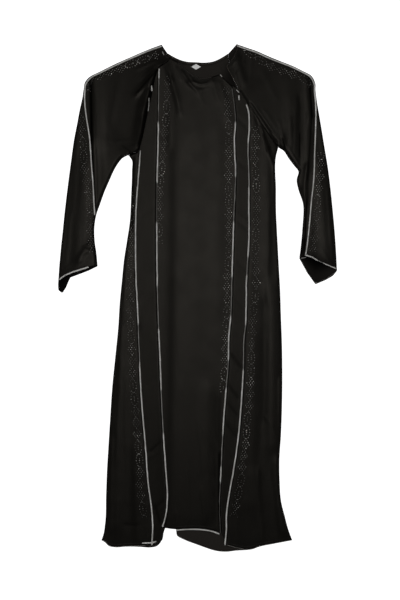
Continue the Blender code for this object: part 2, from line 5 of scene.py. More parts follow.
import bmesh
import bpy
import numpy as np
from mathutils import Matrix, Vector, noise
from mathutils.bvhtree import BVHTree


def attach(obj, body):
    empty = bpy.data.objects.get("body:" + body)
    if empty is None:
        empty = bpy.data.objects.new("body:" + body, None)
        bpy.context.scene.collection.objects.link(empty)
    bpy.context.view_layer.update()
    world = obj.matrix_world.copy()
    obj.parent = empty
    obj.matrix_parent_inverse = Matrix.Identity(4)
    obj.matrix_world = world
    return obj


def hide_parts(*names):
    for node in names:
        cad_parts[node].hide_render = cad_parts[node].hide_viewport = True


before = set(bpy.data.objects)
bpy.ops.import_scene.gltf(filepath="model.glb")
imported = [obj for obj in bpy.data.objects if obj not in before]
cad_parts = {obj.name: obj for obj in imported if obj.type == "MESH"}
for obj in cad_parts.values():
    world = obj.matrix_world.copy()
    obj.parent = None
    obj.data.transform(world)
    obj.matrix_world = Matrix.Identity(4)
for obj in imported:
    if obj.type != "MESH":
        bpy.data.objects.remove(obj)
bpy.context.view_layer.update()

print("frame loaded,", len(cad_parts), "nodes")

# sizes that all the pieces share, in metres
garment = {
    "wall": 0.0008,  # cloth as it is seen
    "gap": 0.0003,  # between two pieces that meet
    "seamMargin": 0.006,  # how far a lower panel reaches under its neighbour
    "piping": 0.0020,  # radius of the silver piping
    "binding": 0.0015,  # radius of the neck binding
    "above": 0.0002,  # air under what is sewn on
    "floorLevel": 0.0015,  # undersides of the lowest front panels
    "stripLevel": 0.0032,  # undersides of the strips beside the centre
    "stripFall": 0.046,  # slope of a strip away from the centre
    "sideLevel": 0.0040,  # undersides of the side panels at their seams
    "sideFall": 0.05,  # slope of a side panel down to the back
    "sideFlat": 0.012,  # how far it stays level first
    "sleeveFall": 0.022,  # slope of a sleeve's upper layer
    "deepest": -0.0006,  # how far a trough may sink
    "ripple": 0.00013,  # height of the faint waves all over
    "wander": 0.0022,  # how far a crease strays from its straight line
}


def metres(*rows):
    # the tables of points are written in millimetres
    return [tuple(value / 1000 for value in row) for row in rows]


# seam lines and edges from the neck end down, each row x, y
centreLineLeft = metres(
    (-105.5, 634), (-106.5, 579), (-108, 477), (-109, 408), (-111, 339), (-112, 270), (-112, 160),
    (-111, 50), (-108, -61), (-103, -171), (-99, -281), (-93, -391), (-86.8, -482), (-83, -548),
    (-86, -590), (-92, -617), (-97.3, -632),
)
sideLineLeft = metres(
    (-125, 595), (-135, 540), (-144, 477), (-151.5, 430), (-157, 408), (-162.5, 339), (-168, 270),
    (-170.9, 143), (-169, 44), (-165, -33), (-160.7, -146), (-156, -253), (-151, -322), (-143, -413),
    (-136, -510), (-126.8, -579), (-123.5, -623), (-125.7, -681),
)
centreLineRight = metres(
    (95, 579), (100.6, 537), (104.5, 482), (102, 449), (102.5, 397), (104.5, 364), (103, 289),
    (100.5, 234), (98, 160), (95, 61), (91, -55), (86, -110), (85, -168), (78.5, -254), (73, -322),
    (69.5, -378), (65, -466), (61, -562), (61, -600), (64, -650),
)
sideLineRight = metres(
    (108.5, 577), (122, 561), (134, 537), (139, 521), (142.2, 455), (140.5, 433), (141, 364),
    (142.2, 320), (141.8, 267), (142, 160), (139.5, 116), (135, 39), (134.5, -22), (132.8, -72),
    (128, -121), (126.5, -196), (123.7, -248), (118.5, -322), (110.5, -402), (99.8, -473), (86.5, -548),
    (80, -601), (80, -634), (76, -681),
)
edgeLeft = metres(
    (-189, 395), (-180.5, 380), (-180.5, 353), (-183.3, 270), (-186, 215), (-194, 160), (-202.5, 105),
    (-208, 50), (-213.6, -6), (-219, -88), (-224.6, -143), (-235.6, -253), (-241, -336), (-245, -400),
    (-249.4, -474), (-252, -543), (-254.5, -620), (-260.5, -656), (-265, -668),
)
edgeRight = metres(
    (221.5, 413), (217.2, 395), (216.3, 297), (216.5, 242), (219, 187), (221.9, 132), (224.6, 80),
    (227.4, 30), (230, -47), (232.9, -130), (232.9, -295), (230, -378), (225.6, -447), (226.2, -502),
    (230.6, -562), (240.2, -601), (250.4, -639), (261.2, -668),
)

# raglan edges of the front panels, necklines and hems
raglanLeftCentre = metres((-76, 663), (-87, 650))
raglanLeftStrip = metres((-112, 627), (-120, 610))
raglanLeftSide = metres((-157, 425), (-164, 405), (-176, 399))
raglanRightCentre = metres((61, 617), (74.5, 604.5), (88, 591.5))
raglanRightSide = metres((149, 536), (157, 522), (185, 481), (207, 446))
frontNeckline = metres((-76, 663), (-54, 650), (-29, 628), (-7, 612), (18, 606), (40, 610), (61, 617))
backNeckline = metres(
    (-83, 675), (-70, 667), (-54, 659), (-32, 652), (-4, 650), (21, 649), (43, 652), (65, 661.5),
    (85, 674),
)
hemCentre = metres((-97.3, -632), (-59, -637), (-21, -635), (21, -637), (45, -642), (64, -650))
cornerStripLeft = metres((-98.5, -629), (-94.5, -640), (-94.5, -655), (-97.5, -667))
hemStripLeft = metres((-125.7, -685), (-112, -681.5), (-103, -675.5), (-97.5, -667))
hemStripRight = metres((64, -650), (76, -681))
hemSideLeft = metres(
    (-265, -668), (-256, -673), (-244, -684), (-225, -687.8), (-200, -686), (-158, -684.5),
    (-125.7, -683),
)
hemSideRight = metres(
    (76, -681), (95, -686.5), (117, -692), (147, -693.5), (168, -686), (208, -678), (261.2, -668),
)
# the back's hem in three stretches: its left bow, the notch under the centre, its right bow
hemBackLeft = hemSideLeft[:5] + metres(
    (-158, -686.5), (-130, -688.2), (-112, -684.5), (-101, -673), (-96, -656), (-87, -628),
)
hemBackRight = metres(
    (-60, -628), (-57.8, -654), (-37, -666.5), (-6, -678.5), (26, -690), (48, -697), (79, -700),
    (106, -697),
) + hemSideRight[3:]

# sleeve sections from neck to cuff, in millimetres: outer x, outer y, inner x, inner y,
# overarm seam (share of the way in from the outer edge), lift
sleeveLeftRows = [
    (-99, 698.5, -80, 660, 0.11, 3.4), (-139, 683.5, -103.5, 636.5, 0.07, 3.4),
    (-183, 664.5, -116, 609, 0.05, 3.4), (-227, 645, -123.5, 570, 0.036, 3.6),
    (-269, 624, -134.8, 524, 0.027, 3.8), (-296, 610.5, -144.7, 474, 0.022, 4.5),
    (-309.5, 595, -158.5, 419, 0.02, 5.2), (-312.8, 579, -172.5, 402, 0.022, 4.5),
    (-317, 551, -191.5, 394, 0.05, 2.2), (-323.5, 522, -210, 383, 0.15, 0.7),
    (-331.5, 479.5, -228.5, 356, 0.335, 0), (-340.5, 432.5, -244.5, 321, 0.497, 0),
    (-349.5, 366.5, -257, 292, 0.665, 0), (-358.5, 297.5, -269, 258.5, 0.815, 0),
    (-366, 234, -279.5, 227.5, 0.95, 0), (-371, 184.5, -284.5, 193, 0.955, 0),
    (-375.5, 143, -283.5, 157, 0.955, 0), (-379.5, 99, -279, 125, 0.955, 0),
    (-383.8, 52, -275.5, 90.5, 0.955, 0),
]
sleeveRightRows = [
    (108, 700, 80, 638, 0.07, 3.4), (133.5, 691, 90, 623, 0.058, 3.4),
    (164, 680.5, 100.5, 599.5, 0.045, 3.4), (194.5, 667, 115.8, 572, 0.038, 4),
    (227.5, 653.5, 133.7, 543, 0.032, 5.2), (260.5, 640.5, 152, 515.5, 0.026, 4.8),
    (291, 625.5, 171, 486.5, 0.022, 3.2), (313, 613, 189, 460, 0.022, 2.4),
    (324, 592.5, 208, 432.5, 0.022, 2), (325, 570.5, 224, 415, 0.025, 2),
    (329, 540, 238.5, 405, 0.04, 0.7), (335, 504.5, 252, 384.5, 0.11, 0),
    (342.5, 460, 266.5, 365, 0.24, 0), (350.5, 410.5, 278.5, 348.5, 0.39, 0),
    (358.8, 361, 273.5, 325, 0.44, 0), (365.8, 306, 279, 296.5, 0.553, 0),
    (371.8, 248, 292, 253.5, 0.742, 0), (377.8, 182, 289, 187.5, 0.8, 0), (381.5, 127, 285, 143, 0.83, 0),
    (384, 80, 281, 111, 0.84, 0),
]
underStartLeft = metres((-83, 675), (-101, 640))
underStartRight = metres((85, 674), (88.5, 642), (98.5, 604))
sleeveSteps = 27  # rows in the solid's sleeve, whose last one carries the cuff's lower layer

# large folds, in millimetres: x, y, x, y, height, half width to the left hand and, where it
# differs, to the right
frontFolds = [
    (-44, 430, -58, -580, 3.1, 80, 32), (26, -260, 22, -600, 1.4, 20), (56, 460, 56, -20, 0.9, 20),
    (-78, 635, -56, 550, 1, 12, 8), (-35, 615, 0, 570, 0.7, 12, 8), (-15, 590, 38, 595, 0.7, 9),
    (50, 590, 82, 500, 0.9, 15), (-200, 90, -225, -620, 2.2, 22), (-170, -420, -160, -660, 1.4, 18),
    (203, 20, 205, -400, 2.6, 22, 18), (156, -120, 150, -560, 1.2, 20), (195, 410, 190, 80, 1.4, 18),
    (220, -460, 240, -640, 2.4, 14), (155, -500, 175, -660, 1.4, 18),
]
sleeveFolds = [
    (-100, 642, -164, 565, 0.6, 12), (-109.5, 622.9, -164.6, 562.8, 1.4, 6, 2.6),
    (-112, 620, -136, 585, 0.8, 4, 3), (-125, 612, -134.5, 570, 1.8, 5, 12),
    (-134.5, 570, -146, 524, 2, 5, 13), (-146, 524, -154, 474, 2, 5, 14),
    (-154, 474, -164, 430, 1.4, 5, 14), (-148, 498, -156, 450, 1, 1.6, 2),
    (-180, 415, -240, 430, 0.8, 14), (-286.2, 600, -284.5, 430, 2, 22, 5),
    (-285, 430, -277, 240, 0.9, 14, 5), (-310, 360, -330, 120, 1.2, 18), (-295, 150, -325, 105, 1.6, 9),
    (300, 590, 306, 500, 1.2, 12, 8), (305, 500, 302, 360, 1, 12, 8), (299, 360, 296, 260, 2.2, 5, 8),
    (294.5, 260, 289, 135, 2.6, 3.6, 4), (225, 440, 265, 520, 0.8, 18), (256, 540, 260, 410, 0.8, 24, 14),
    (150, 560, 220, 610, 0.6, 22), (105, 660, 125, 600, 1.2, 12), (335, 360, 355, 130, 1.4, 16),
    (366, 300, 376, 120, 0.8, 8),
]

# painted shade for deep tucks that the light hardly reaches: x, y, x, y, how dark, half width
frontPaintedTucks = [
    (-84.9, 640.8, -72, 590, 0.4, 2.2), (-72, 590, -60, 560, 0.14, 2.6),
    (-54.3, 631.4, -39.1, 603.8, 0.22, 1.4), (-39.1, 603.8, -15.2, 576, 0.18, 1.4),
    (-8, 599, 6, 592, 0.22, 1.4), (6, 592, 34.5, 595, 0.22, 1.4), (181.9, 449.2, 193, 415, 0.5, 2.6),
    (193, 415, 210, 370, 0.55, 2.8), (60.6, -281.1, 59, -430, 0.25, 6), (60, -430, 59.2, -560, 0.75, 3.6),
    (59.2, -560, 63.5, -638, 0.85, 3.4), (-80, -555, -89, -625, 0.7, 3.4),
    (-116, -575, -104, -615, 0.45, 6), (-128, -420, -103, -396, 0.35, 4),
    (-118, -580, -96, -560, 0.35, 4.5), (-176, 385, -179, 190, 0.5, 3.6),
    (-200, -623, -168, -626, 0.45, 4), (179, -10, 180, -330, 0.16, 8), (95, -159, 119, -188, 0.3, 4),
    (87, -242, 111, -274, 0.3, 4), (83, -290, 108, -320, 0.3, 4), (80, -348, 104, -379, 0.3, 4),
    (-70, 400, -71, 50, 0.1, 8), (-71, 50, -80, -540, 0.18, 9),
]
sleevePaintedTucks = [
    (-86.2, 651, -112.5, 625.6, 1, 3), (-112.5, 625.6, -167.6, 565.5, 0.75, 2.2),
    (-114, 624, -129, 570, 0.95, 3.6), (-129, 570, -142, 513, 0.95, 4.2), (-142, 513, -151, 465, 0.9, 4),
    (-151, 465, -162, 425, 0.85, 3.6), (-294, 590, -291.5, 430, 1, 4.2),
    (-291.5, 430, -283, 245, 0.9, 2.8), (310.8, 579, 315.3, 499, 1, 2.8), (315, 499, 303, 325, 0.55, 2.4),
    (301, 270, 295, 140, 0.8, 2), (288.5, 210, 286, 125, 0.95, 4), (294, 160, 293, 125, 0.55, 6),
    (235, 438, 241, 412, 0.8, 2.2), (281.5, 452, 281, 390, 0.65, 2.6), (280, 530, 283, 430, 0.22, 7),
    (150, 517, 182, 470, 0.45, 0.9), (182, 470, 217, 421, 0.45, 0.9), (-206, 418, -185, 403, 0.35, 2.6),
    (-312, 139, -283, 131, 0.4, 2.6), (113, 672, 106, 656, 0.35, 2.2), (123, 670, 119, 656, 0.3, 2.2),
]

# smaller creases, ridges and troughs, in the same columns
frontCreases = [
    (-86.8, 644.9, -73, 600.8, 2.2, 5.5), (-73, 600.8, -48.2, 512.6, 1.6, 7),
    (-56.5, 633.9, -45.5, 603.6, 1.4, 3.5), (-40, 622.9, -23.4, 592.5, 1.7, 3.2),
    (-23.4, 592.5, -1.4, 567.7, 1.4, 3.2), (-1.4, 567.7, 15.2, 534.7, 0.7, 4),
    (-17.9, 609.1, -9.6, 595.3, 1, 2.6), (-9.6, 595.3, 6.9, 589.8, 1, 2.6),
    (6.9, 589.8, 23.4, 592.5, 1, 2.6), (23.4, 592.5, 37.2, 603.6, 0.9, 2.6),
    (-23.4, 600.8, -12.4, 581.5, 0.6, 2.6), (-12.4, 581.5, 6.9, 573.2, 0.7, 2.8),
    (6.9, 573.2, 28.9, 578.8, 0.6, 2.8), (42.7, 595.3, 56.5, 545.7, 0.8, 4.5),
    (64.8, 589.8, 78.5, 540.2, 0.9, 4), (56.5, -281.1, 51, -611.8, -0.8, 8),
    (-75.8, 518.1, -75.8, 421.7, 0.8, 6), (23.4, -424.4, 40, -479.5, 0.7, 2.6),
    (40, -446.5, 51, -523.6, 0.6, 2.8), (28.9, -501.6, 45.5, -562.2, 0.5, 3),
    (17.9, -363.8, 34.5, -413.4, 0.5, 3), (45.5, -369.3, 59.3, -424.4, 0.5, 3),
    (1.4, -336.2, 15.2, -474, 0.5, 5), (-28.9, -474, -20.7, -611.8, 0.6, 5),
    (12.4, -529.2, 20.7, -617.3, 0.7, 4.5), (-57.9, -592.5, -57.9, -628.4, 1.1, 2),
    (-51, -604.9, 56.5, -616, 0.3, 1.2), (-86.8, -603.6, -64.8, -604.9, 0.3, 1.2),
    (-130.9, -424.4, -103.4, -399.6, -0.8, 4.5), (-130.9, -438.2, -100.6, -416.2, 0.6, 3.5),
    (-119.9, -581.5, -95.1, -559.5, -0.8, 4.5), (-122.6, -598.1, -97.8, -576, 0.5, 3.5),
    (-150.2, -5.5, -114.4, 16.5, -0.5, 5), (-139.2, -239.8, -108.9, -217.7, -0.5, 5),
    (-153, 228.7, -119.9, 253.6, -0.4, 6), (-119.9, -631.1, -103.4, -611.8, 0.7, 4),
    (-111.6, -667, -97.8, -631.1, 1, 3.5), (106.1, 215, 136.4, 190.2, -0.9, 4.5),
    (103.4, 237, 133.7, 212.2, 0.6, 4), (100.6, -2.8, 125.4, -22, -0.9, 4.5),
    (103.4, -38.6, 128.2, -57.9, -0.8, 4), (95.1, -159.8, 119.9, -190.2, -1, 4.5),
    (92.3, -140.6, 117.1, -168.1, 0.6, 4), (86.8, -242.5, 111.6, -275.6, -1, 4.5),
    (84.1, -286.6, 111.6, -319.7, -0.8, 4.5), (81.3, -347.3, 106.1, -380.3, -0.9, 4.5),
    (78.5, -325.2, 103.4, -355.5, 0.5, 4), (67.5, -407.9, 95.1, -446.5, -0.7, 4.5),
    (64.8, -474, 86.8, -501.6, -0.6, 4.5), (111.6, 496.1, 133.7, 474, -0.6, 5),
    (108.9, 380.3, 133.7, 358.3, -0.6, 5), (111.6, 99.2, 133.7, 77.2, -0.5, 5),
    (175, 468.5, 194.3, 407.9, 1.8, 4), (194.3, 407.9, 210.8, 358.3, 1.6, 4.5),
    (210.8, 358.3, 219.1, 297.6, 0.8, 5), (161.2, 496.1, 177.8, 452, -0.7, 4),
    (183.3, -5.5, 183.3, -336.2, -0.8, 9), (227.4, -226, 230.1, -424.4, 1.4, 4),
    (164, -314.2, 188.8, -328, 0.7, 2.4), (188.8, -328, 208.1, -352.8, 0.6, 2.4),
    (208.1, -352.8, 219.1, -391.4, 0.4, 2.6), (199.8, 270.1, 194.3, -5.5, 0.7, 8),
    (166.7, -474, 177.8, -667, 0.8, 6), (208.1, -474, 230.1, -639.4, 1.1, 6),
    (136.4, -556.7, 144.7, -667, 0.7, 5), (106.1, -611.8, 111.6, -672.5, 0.6, 4),
    (-175, 385.8, -177.8, 181.9, -0.8, 5), (-191.5, -5.5, -161.2, -88.2, -0.6, 7),
    (-199.8, -622.9, -166.7, -625.6, -0.8, 5), (-210.8, -88.2, -221.9, -446.5, 0.9, 7),
    (-235.6, -391.4, -241.2, -639.4, 0.9, 5), (-194.3, -226, -197.1, -556.7, 0.8, 7),
    (-219.1, -556.7, -221.9, -672.5, 0.8, 5), (-141.9, -570.5, -139.2, -675.2, 0.8, 4),
    (-188.8, 173.6, -199.8, -5.5, 0.8, 6), (-252.2, -598.1, -257.7, -655.9, 0.8, 3.5),
    (-175, -474, -166.7, -667, 0.6, 5),
]
sleeveCreases = [
    (-92.3, 644.9, -119.9, 617.3, 2.2, 4.5), (-119.9, 617.3, -147.4, 589.8, 1.8, 5),
    (-147.4, 589.8, -172.3, 562.2, 1.2, 6), (-106.1, 639.4, -130.9, 617.3, -1, 3),
    (-130.9, 617.3, -155.7, 595.3, -0.8, 3.5), (-108.9, 622.9, -128.2, 578.8, 1.2, 3.5),
    (-128.2, 578.8, -144.7, 512.6, 0.9, 4), (-130.9, 567.7, -161.2, 485.1, 0.8, 5),
    (-150.2, 490.6, -166.7, 418.9, 0.9, 4), (-117.1, 650.4, -164, 631.1, 0.8, 5),
    (-286.6, 567.7, -281.1, 407.9, -1, 4), (-281.1, 407.9, -275.6, 231.5, -1, 3.6),
    (-266, 545.7, -257.7, 325.2, 0.8, 8), (-161.2, 407.9, -194.3, 394.1, 0.9, 2.6),
    (-166.7, 418.9, -208.1, 407.9, 0.9, 3), (-175, 435.4, -221.9, 429.9, 0.8, 4),
    (-169.5, 396.9, -186, 388.6, 0.6, 2.2), (-230.1, 352.8, -257.7, 270.1, 0.9, 6),
    (-252.2, 256.3, -274.2, 192.9, 0.8, 5), (-329.3, 463, -343.1, 242.5, 0.8, 7),
    (-307.3, 281.1, -312.8, 132.3, 0.6, 5), (-348.6, 228.7, -362.4, 99.2, 0.9, 5),
    (-321.1, 121.3, -279.7, 129.5, 1.2, 2.6), (-326.6, 99.2, -288, 107.5, 1.1, 2.6),
    (-312.8, 140.6, -277, 159.8, 0.7, 3), (-362.4, 82.7, -340.4, 99.2, 0.7, 3),
    (-301.8, 170.9, -274.2, 198.4, 0.6, 4), (147.4, 526.4, 177.8, 482.3, 1.3, 2.4),
    (177.8, 482.3, 202.6, 446.5, 1.2, 2.4), (202.6, 446.5, 224.6, 416.2, 1, 2.4),
    (166.7, 515.4, 194.3, 474, 0.9, 2.6), (194.3, 474, 224.6, 432.7, 0.9, 2.6),
    (183.3, 518.1, 216.3, 468.5, 0.6, 4), (232.9, 446.5, 246.7, 407.9, 1.4, 2.8),
    (249.4, 418.9, 274.2, 374.8, 1.3, 2.8), (224.6, 485.1, 238.4, 435.4, 0.8, 4),
    (257.7, 490.6, 257.7, 418.9, 0.9, 5), (282.5, 556.7, 282.5, 358.3, -1.1, 5),
    (279.7, 352.8, 293.5, 226, -1.1, 4), (312.8, 578.8, 314.5, 463, -1.2, 2.8),
    (271.5, 545.7, 268.7, 407.9, 0.8, 5), (290.8, 220.5, 282.5, 132.3, -0.8, 3.5),
    (117.1, 683.5, 111.6, 661.4, 0.9, 2.6), (111.6, 661.4, 90.9, 639.4, 0.9, 2.6),
    (130.9, 678, 128.2, 647.7, 0.8, 2.8), (128.2, 647.7, 106.1, 614.6, 0.8, 3.2),
    (150.2, 655.9, 144.7, 600.8, 0.7, 5), (106.1, 614.6, 117.1, 573.2, 0.9, 3),
    (177.8, 628.4, 213.6, 556.7, 0.6, 9), (-213.6, 606.3, -235.6, 496.1, 0.7, 10),
    (354.1, 407.9, 367.9, 159.8, 0.8, 7), (332.1, 518.1, 343.1, 407.9, 0.6, 5),
    (315.6, 192.9, 307.3, 132.3, 0.6, 3), (343.1, 132.3, 367.9, 93.7, 0.8, 4),
]
backCreases = [
    (-45.5, 644.9, -20.7, 628.4, 1, 2.6), (23, 644, 33, 630, 0.7, 3), (48, 650, 64, 632, 0.8, 3),
    (64, 656, 79, 638, 0.7, 2.8), (-42, -656, -40, -664, 0.5, 6), (30, -670, 35, -690, 0.8, 7),
    (2, -660, 6, -678, 0.6, 6),
]


def hermite(stations, values, wanted):
    # smooth curve through the values, with slopes from their neighbours
    stations = np.asarray(stations, float)
    values = np.asarray(values, float)
    slopes = np.gradient(values, stations, axis=0)
    place = np.clip(np.searchsorted(stations, wanted, side="right") - 1, 0, len(stations) - 2)
    step = stations[place + 1] - stations[place]
    t = ((wanted - stations[place]) / step)[:, None]
    step = step[:, None]
    start = (2 * t**3 - 3 * t**2 + 1) * values[place] + (t**3 - 2 * t**2 + t) * step * slopes[place]
    end = (3 * t**2 - 2 * t**3) * values[place + 1] + (t**3 - t**2) * step * slopes[place + 1]
    return start + end


def runOf(points):
    # length along a line at each of its points
    return np.concatenate([[0.0], np.cumsum(np.linalg.norm(np.diff(points, axis=0), axis=1))])


def smoothLine(points, count):
    # evenly spaced points on a smooth curve through the given ones
    points = np.asarray(points, float)
    lengths = runOf(points)
    dense = hermite(lengths, points, np.linspace(0.0, lengths[-1], 12 * len(points)))
    run = runOf(dense)
    wanted = np.linspace(0.0, run[-1], count)
    return np.column_stack([np.interp(wanted, run, dense[:, axis]) for axis in (0, 1)])


def moved(points, x=0.0, y=0.0):
    return [(px + x, py + y) for px, py in points]


def lineX(line, y):
    # where a seam line stands at height y
    return float(np.interp(y, [row[1] for row in line][::-1], [row[0] for row in line][::-1]))


def softStep(share):
    share = min(1.0, max(0.0, share))
    return share * share * (3 - 2 * share)


def foldTable(*tables):
    # each table, in millimetres, comes with the factor that its heights are taken by
    rows = np.array([(*row[:4], row[4] * factor, row[5], row[-1])
                     for table, factor in tables for row in table])
    rows[:, [0, 1, 2, 3, 5, 6]] /= 1000
    reach = rows[:, 2:4] - rows[:, 0:2]
    length = np.linalg.norm(reach, axis=1)
    return {"start": rows[:, 0:2], "along": reach / length[:, None], "length": length, "top": rows[:, 4],
            "left": rows[:, 5], "right": rows[:, 6]}


def nearFolds(folds, x, y):
    # how far to the side of each fold, and past its ends, a place lies
    away = np.array((x, y)) - folds["start"]
    along = (away * folds["along"]).sum(axis=1)
    across = away[:, 0] * folds["along"][:, 1] - away[:, 1] * folds["along"][:, 0]
    return across, np.maximum(0.0, np.maximum(-along, along - folds["length"]))


def relief(folds, x, y):
    # height of the folds, creases and faint waves at a place
    x += garment["wander"] * noise.noise((x * 22, y * 22, 1.7))
    y += garment["wander"] * noise.noise((x * 22, y * 22, 9.3))
    across, past = nearFolds(folds, x, y)
    half = np.where(across > 0, folds["right"], folds["left"])
    fade = 1.6 * np.maximum(folds["left"], folds["right"])
    height = folds["top"] * np.exp(-(across / half) ** 2 - (past / fade) ** 2)
    ripple = noise.noise((x * 17, y * 12, 4.0)) + 0.4 * noise.noise((x * 60, y * 45, 2.0))
    return max(garment["deepest"], float(height.sum()) + garment["ripple"] * ripple)


def paintedShadeIn(tucks, x, y):
    # how much painted shade a place gets from the tucks, 0 to 1
    across, past = nearFolds(tucks, x, y)
    half = tucks["left"]
    depth = tucks["top"] * np.exp(-(across / half) ** 2 - (past / (1.5 * half)) ** 2)
    return min(1.0, float(depth.max()))


frontRelief = foldTable((frontFolds, 0.001), (frontCreases, 0.0006))
sleeveRelief = foldTable((sleeveFolds, 0.001), (sleeveCreases, 0.00035))
backRelief = foldTable((backCreases, 0.001))
frontTuckShade = foldTable((frontPaintedTucks, 1.0))
sleeveTuckShade = foldTable((sleevePaintedTucks, 1.0))


def onFloor(x, y):
    # undersides of the panels that lie on the back alone, the same height everywhere
    return garment["floorLevel"]


def stripLevel(line, x, y):
    return garment["stripLevel"] - garment["stripFall"] * max(0.0, abs(x - lineX(line, y)) - 0.004)


def onStripLeft(x, y):
    return stripLevel(centreLineLeft, x, y)


def onStripRight(x, y):
    return stripLevel(centreLineRight, x, y)


def sideLevel(line, x, y):
    # a side panel lies on the strip at its seam and comes down to the back panel away from it
    away = max(0.0, abs(x - lineX(line, y)) - garment["sideFlat"])
    return max(garment["floorLevel"], garment["sideLevel"] - garment["sideFall"] * away)


def link(tree, *pairs):
    for source, target in pairs:
        tree.links.new(source, target)


def feed(tree, socket, value):
    # a number or colour is set, an output is linked
    if isinstance(value, tuple):
        socket.default_value = (*value, 1.0)
    elif isinstance(value, (int, float)):
        socket.default_value = value
    elif value is not None:
        tree.links.new(value, socket)


def feedAll(tree, node, values):
    for label, value in values.items():
        feed(tree, node.inputs[label], value)


def mathNode(tree, operation, first, second=None, clamp=False):
    node = tree.nodes.new("ShaderNodeMath")
    node.operation = operation
    node.use_clamp = clamp
    feed(tree, node.inputs[0], first)
    feed(tree, node.inputs[1], second)
    return node.outputs[0]


def attribute(tree, name):
    node = tree.nodes.new("ShaderNodeAttribute")
    node.attribute_name = name
    return node.outputs["Fac"]


def waveNode(tree, vector, scale, direction):
    node = tree.nodes.new("ShaderNodeTexWave")
    node.wave_type = "BANDS"
    node.bands_direction = direction
    node.wave_profile = "SIN"
    feedAll(tree, node, {"Scale": scale, "Vector": vector})
    return node.outputs["Fac"]


def noiseNode(tree, vector, scale, detail=2.0, roughness=0.5):
    node = tree.nodes.new("ShaderNodeTexNoise")
    feedAll(tree, node, {"Vector": vector, "Scale": scale, "Detail": detail, "Roughness": roughness})
    return node.outputs["Fac"]


def newGroup(name, values, outputs):
    # a group that takes a vector and some numbers and gives numbers
    tree = bpy.data.node_groups.new(name, "ShaderNodeTree")
    tree.interface.new_socket("Vector", in_out="INPUT", socket_type="NodeSocketVector")
    for label, value in values.items():
        socket = tree.interface.new_socket(label, in_out="INPUT", socket_type="NodeSocketFloat")
        socket.default_value = value
    for label in outputs:
        tree.interface.new_socket(label, in_out="OUTPUT", socket_type="NodeSocketFloat")
    return tree, tree.nodes.new("NodeGroupInput"), tree.nodes.new("NodeGroupOutput")


def threadWeave():
    # crossing threads with uneven slubs: height for a bump, shade for the colour
    tree, source, target = newGroup("threadWeave", {"Threads": 1.0, "Slub": 0.4}, ["Height", "Shade"])
    scaled = tree.nodes.new("ShaderNodeVectorMath")
    scaled.operation = "SCALE"
    link(tree, (source.outputs["Vector"], scaled.inputs[0]),
         (source.outputs["Threads"], scaled.inputs["Scale"]))
    warp = waveNode(tree, scaled.outputs[0], 620.0, "X")
    weft = waveNode(tree, scaled.outputs[0], 480.0, "Y")
    slubs = noiseNode(tree, scaled.outputs[0], 260.0, 3.0, 0.6)
    crossed = mathNode(tree, "MAXIMUM", mathNode(tree, "MULTIPLY", warp, 0.7), weft)
    slubbed = mathNode(tree, "MULTIPLY", slubs, source.outputs["Slub"])
    link(tree, (mathNode(tree, "ADD", crossed, slubbed), target.inputs["Height"]))
    link(tree, (mathNode(tree, "MULTIPLY_ADD", slubs, 0.5), target.inputs["Shade"]))
    return tree


def softWear():
    # broad uneven tone, as where cloth is handled, pressed or dusty
    tree, source, target = newGroup("softWear", {"Scale": 6.0, "Low": 0.35, "High": 0.70}, ["Mask"])
    cloud = noiseNode(tree, source.outputs["Vector"], source.outputs["Scale"], 4.0, 0.55)
    ramp = tree.nodes.new("ShaderNodeMapRange")
    ramp.interpolation_type = "SMOOTHSTEP"
    link(tree, (cloud, ramp.inputs["Value"]), (source.outputs["Low"], ramp.inputs["From Min"]),
         (source.outputs["High"], ramp.inputs["From Max"]),
         (ramp.outputs["Result"], target.inputs["Mask"]))
    return tree


weaveGroup = threadWeave()
wearGroup = softWear()


def placeGroup(tree, group, values):
    node = tree.nodes.new("ShaderNodeGroup")
    node.node_tree = group
    feedAll(tree, node, values)
    return node


def mixColour(tree, factor, first, second):
    node = tree.nodes.new("ShaderNodeMix")
    node.data_type = "RGBA"
    for socket, value in ((node.inputs[0], factor), (node.inputs[6], first), (node.inputs[7], second)):
        feed(tree, socket, value)
    return node.outputs[2]


def mapRange(tree, value, low, high):
    node = tree.nodes.new("ShaderNodeMapRange")
    feedAll(tree, node, {"Value": value, "To Min": low, "To Max": high})
    return node.outputs["Result"]


def bump(tree, height, strength, distance, before=None):
    node = tree.nodes.new("ShaderNodeBump")
    feedAll(tree, node, {"Height": height, "Strength": strength, "Distance": distance, "Normal": before})
    return node.outputs["Normal"]


def newMaterial(name):
    material = bpy.data.materials.new(name)
    material.use_nodes = True
    tree = material.node_tree
    return material, tree, tree.nodes["Principled BSDF"], tree.nodes.new("ShaderNodeTexCoord")


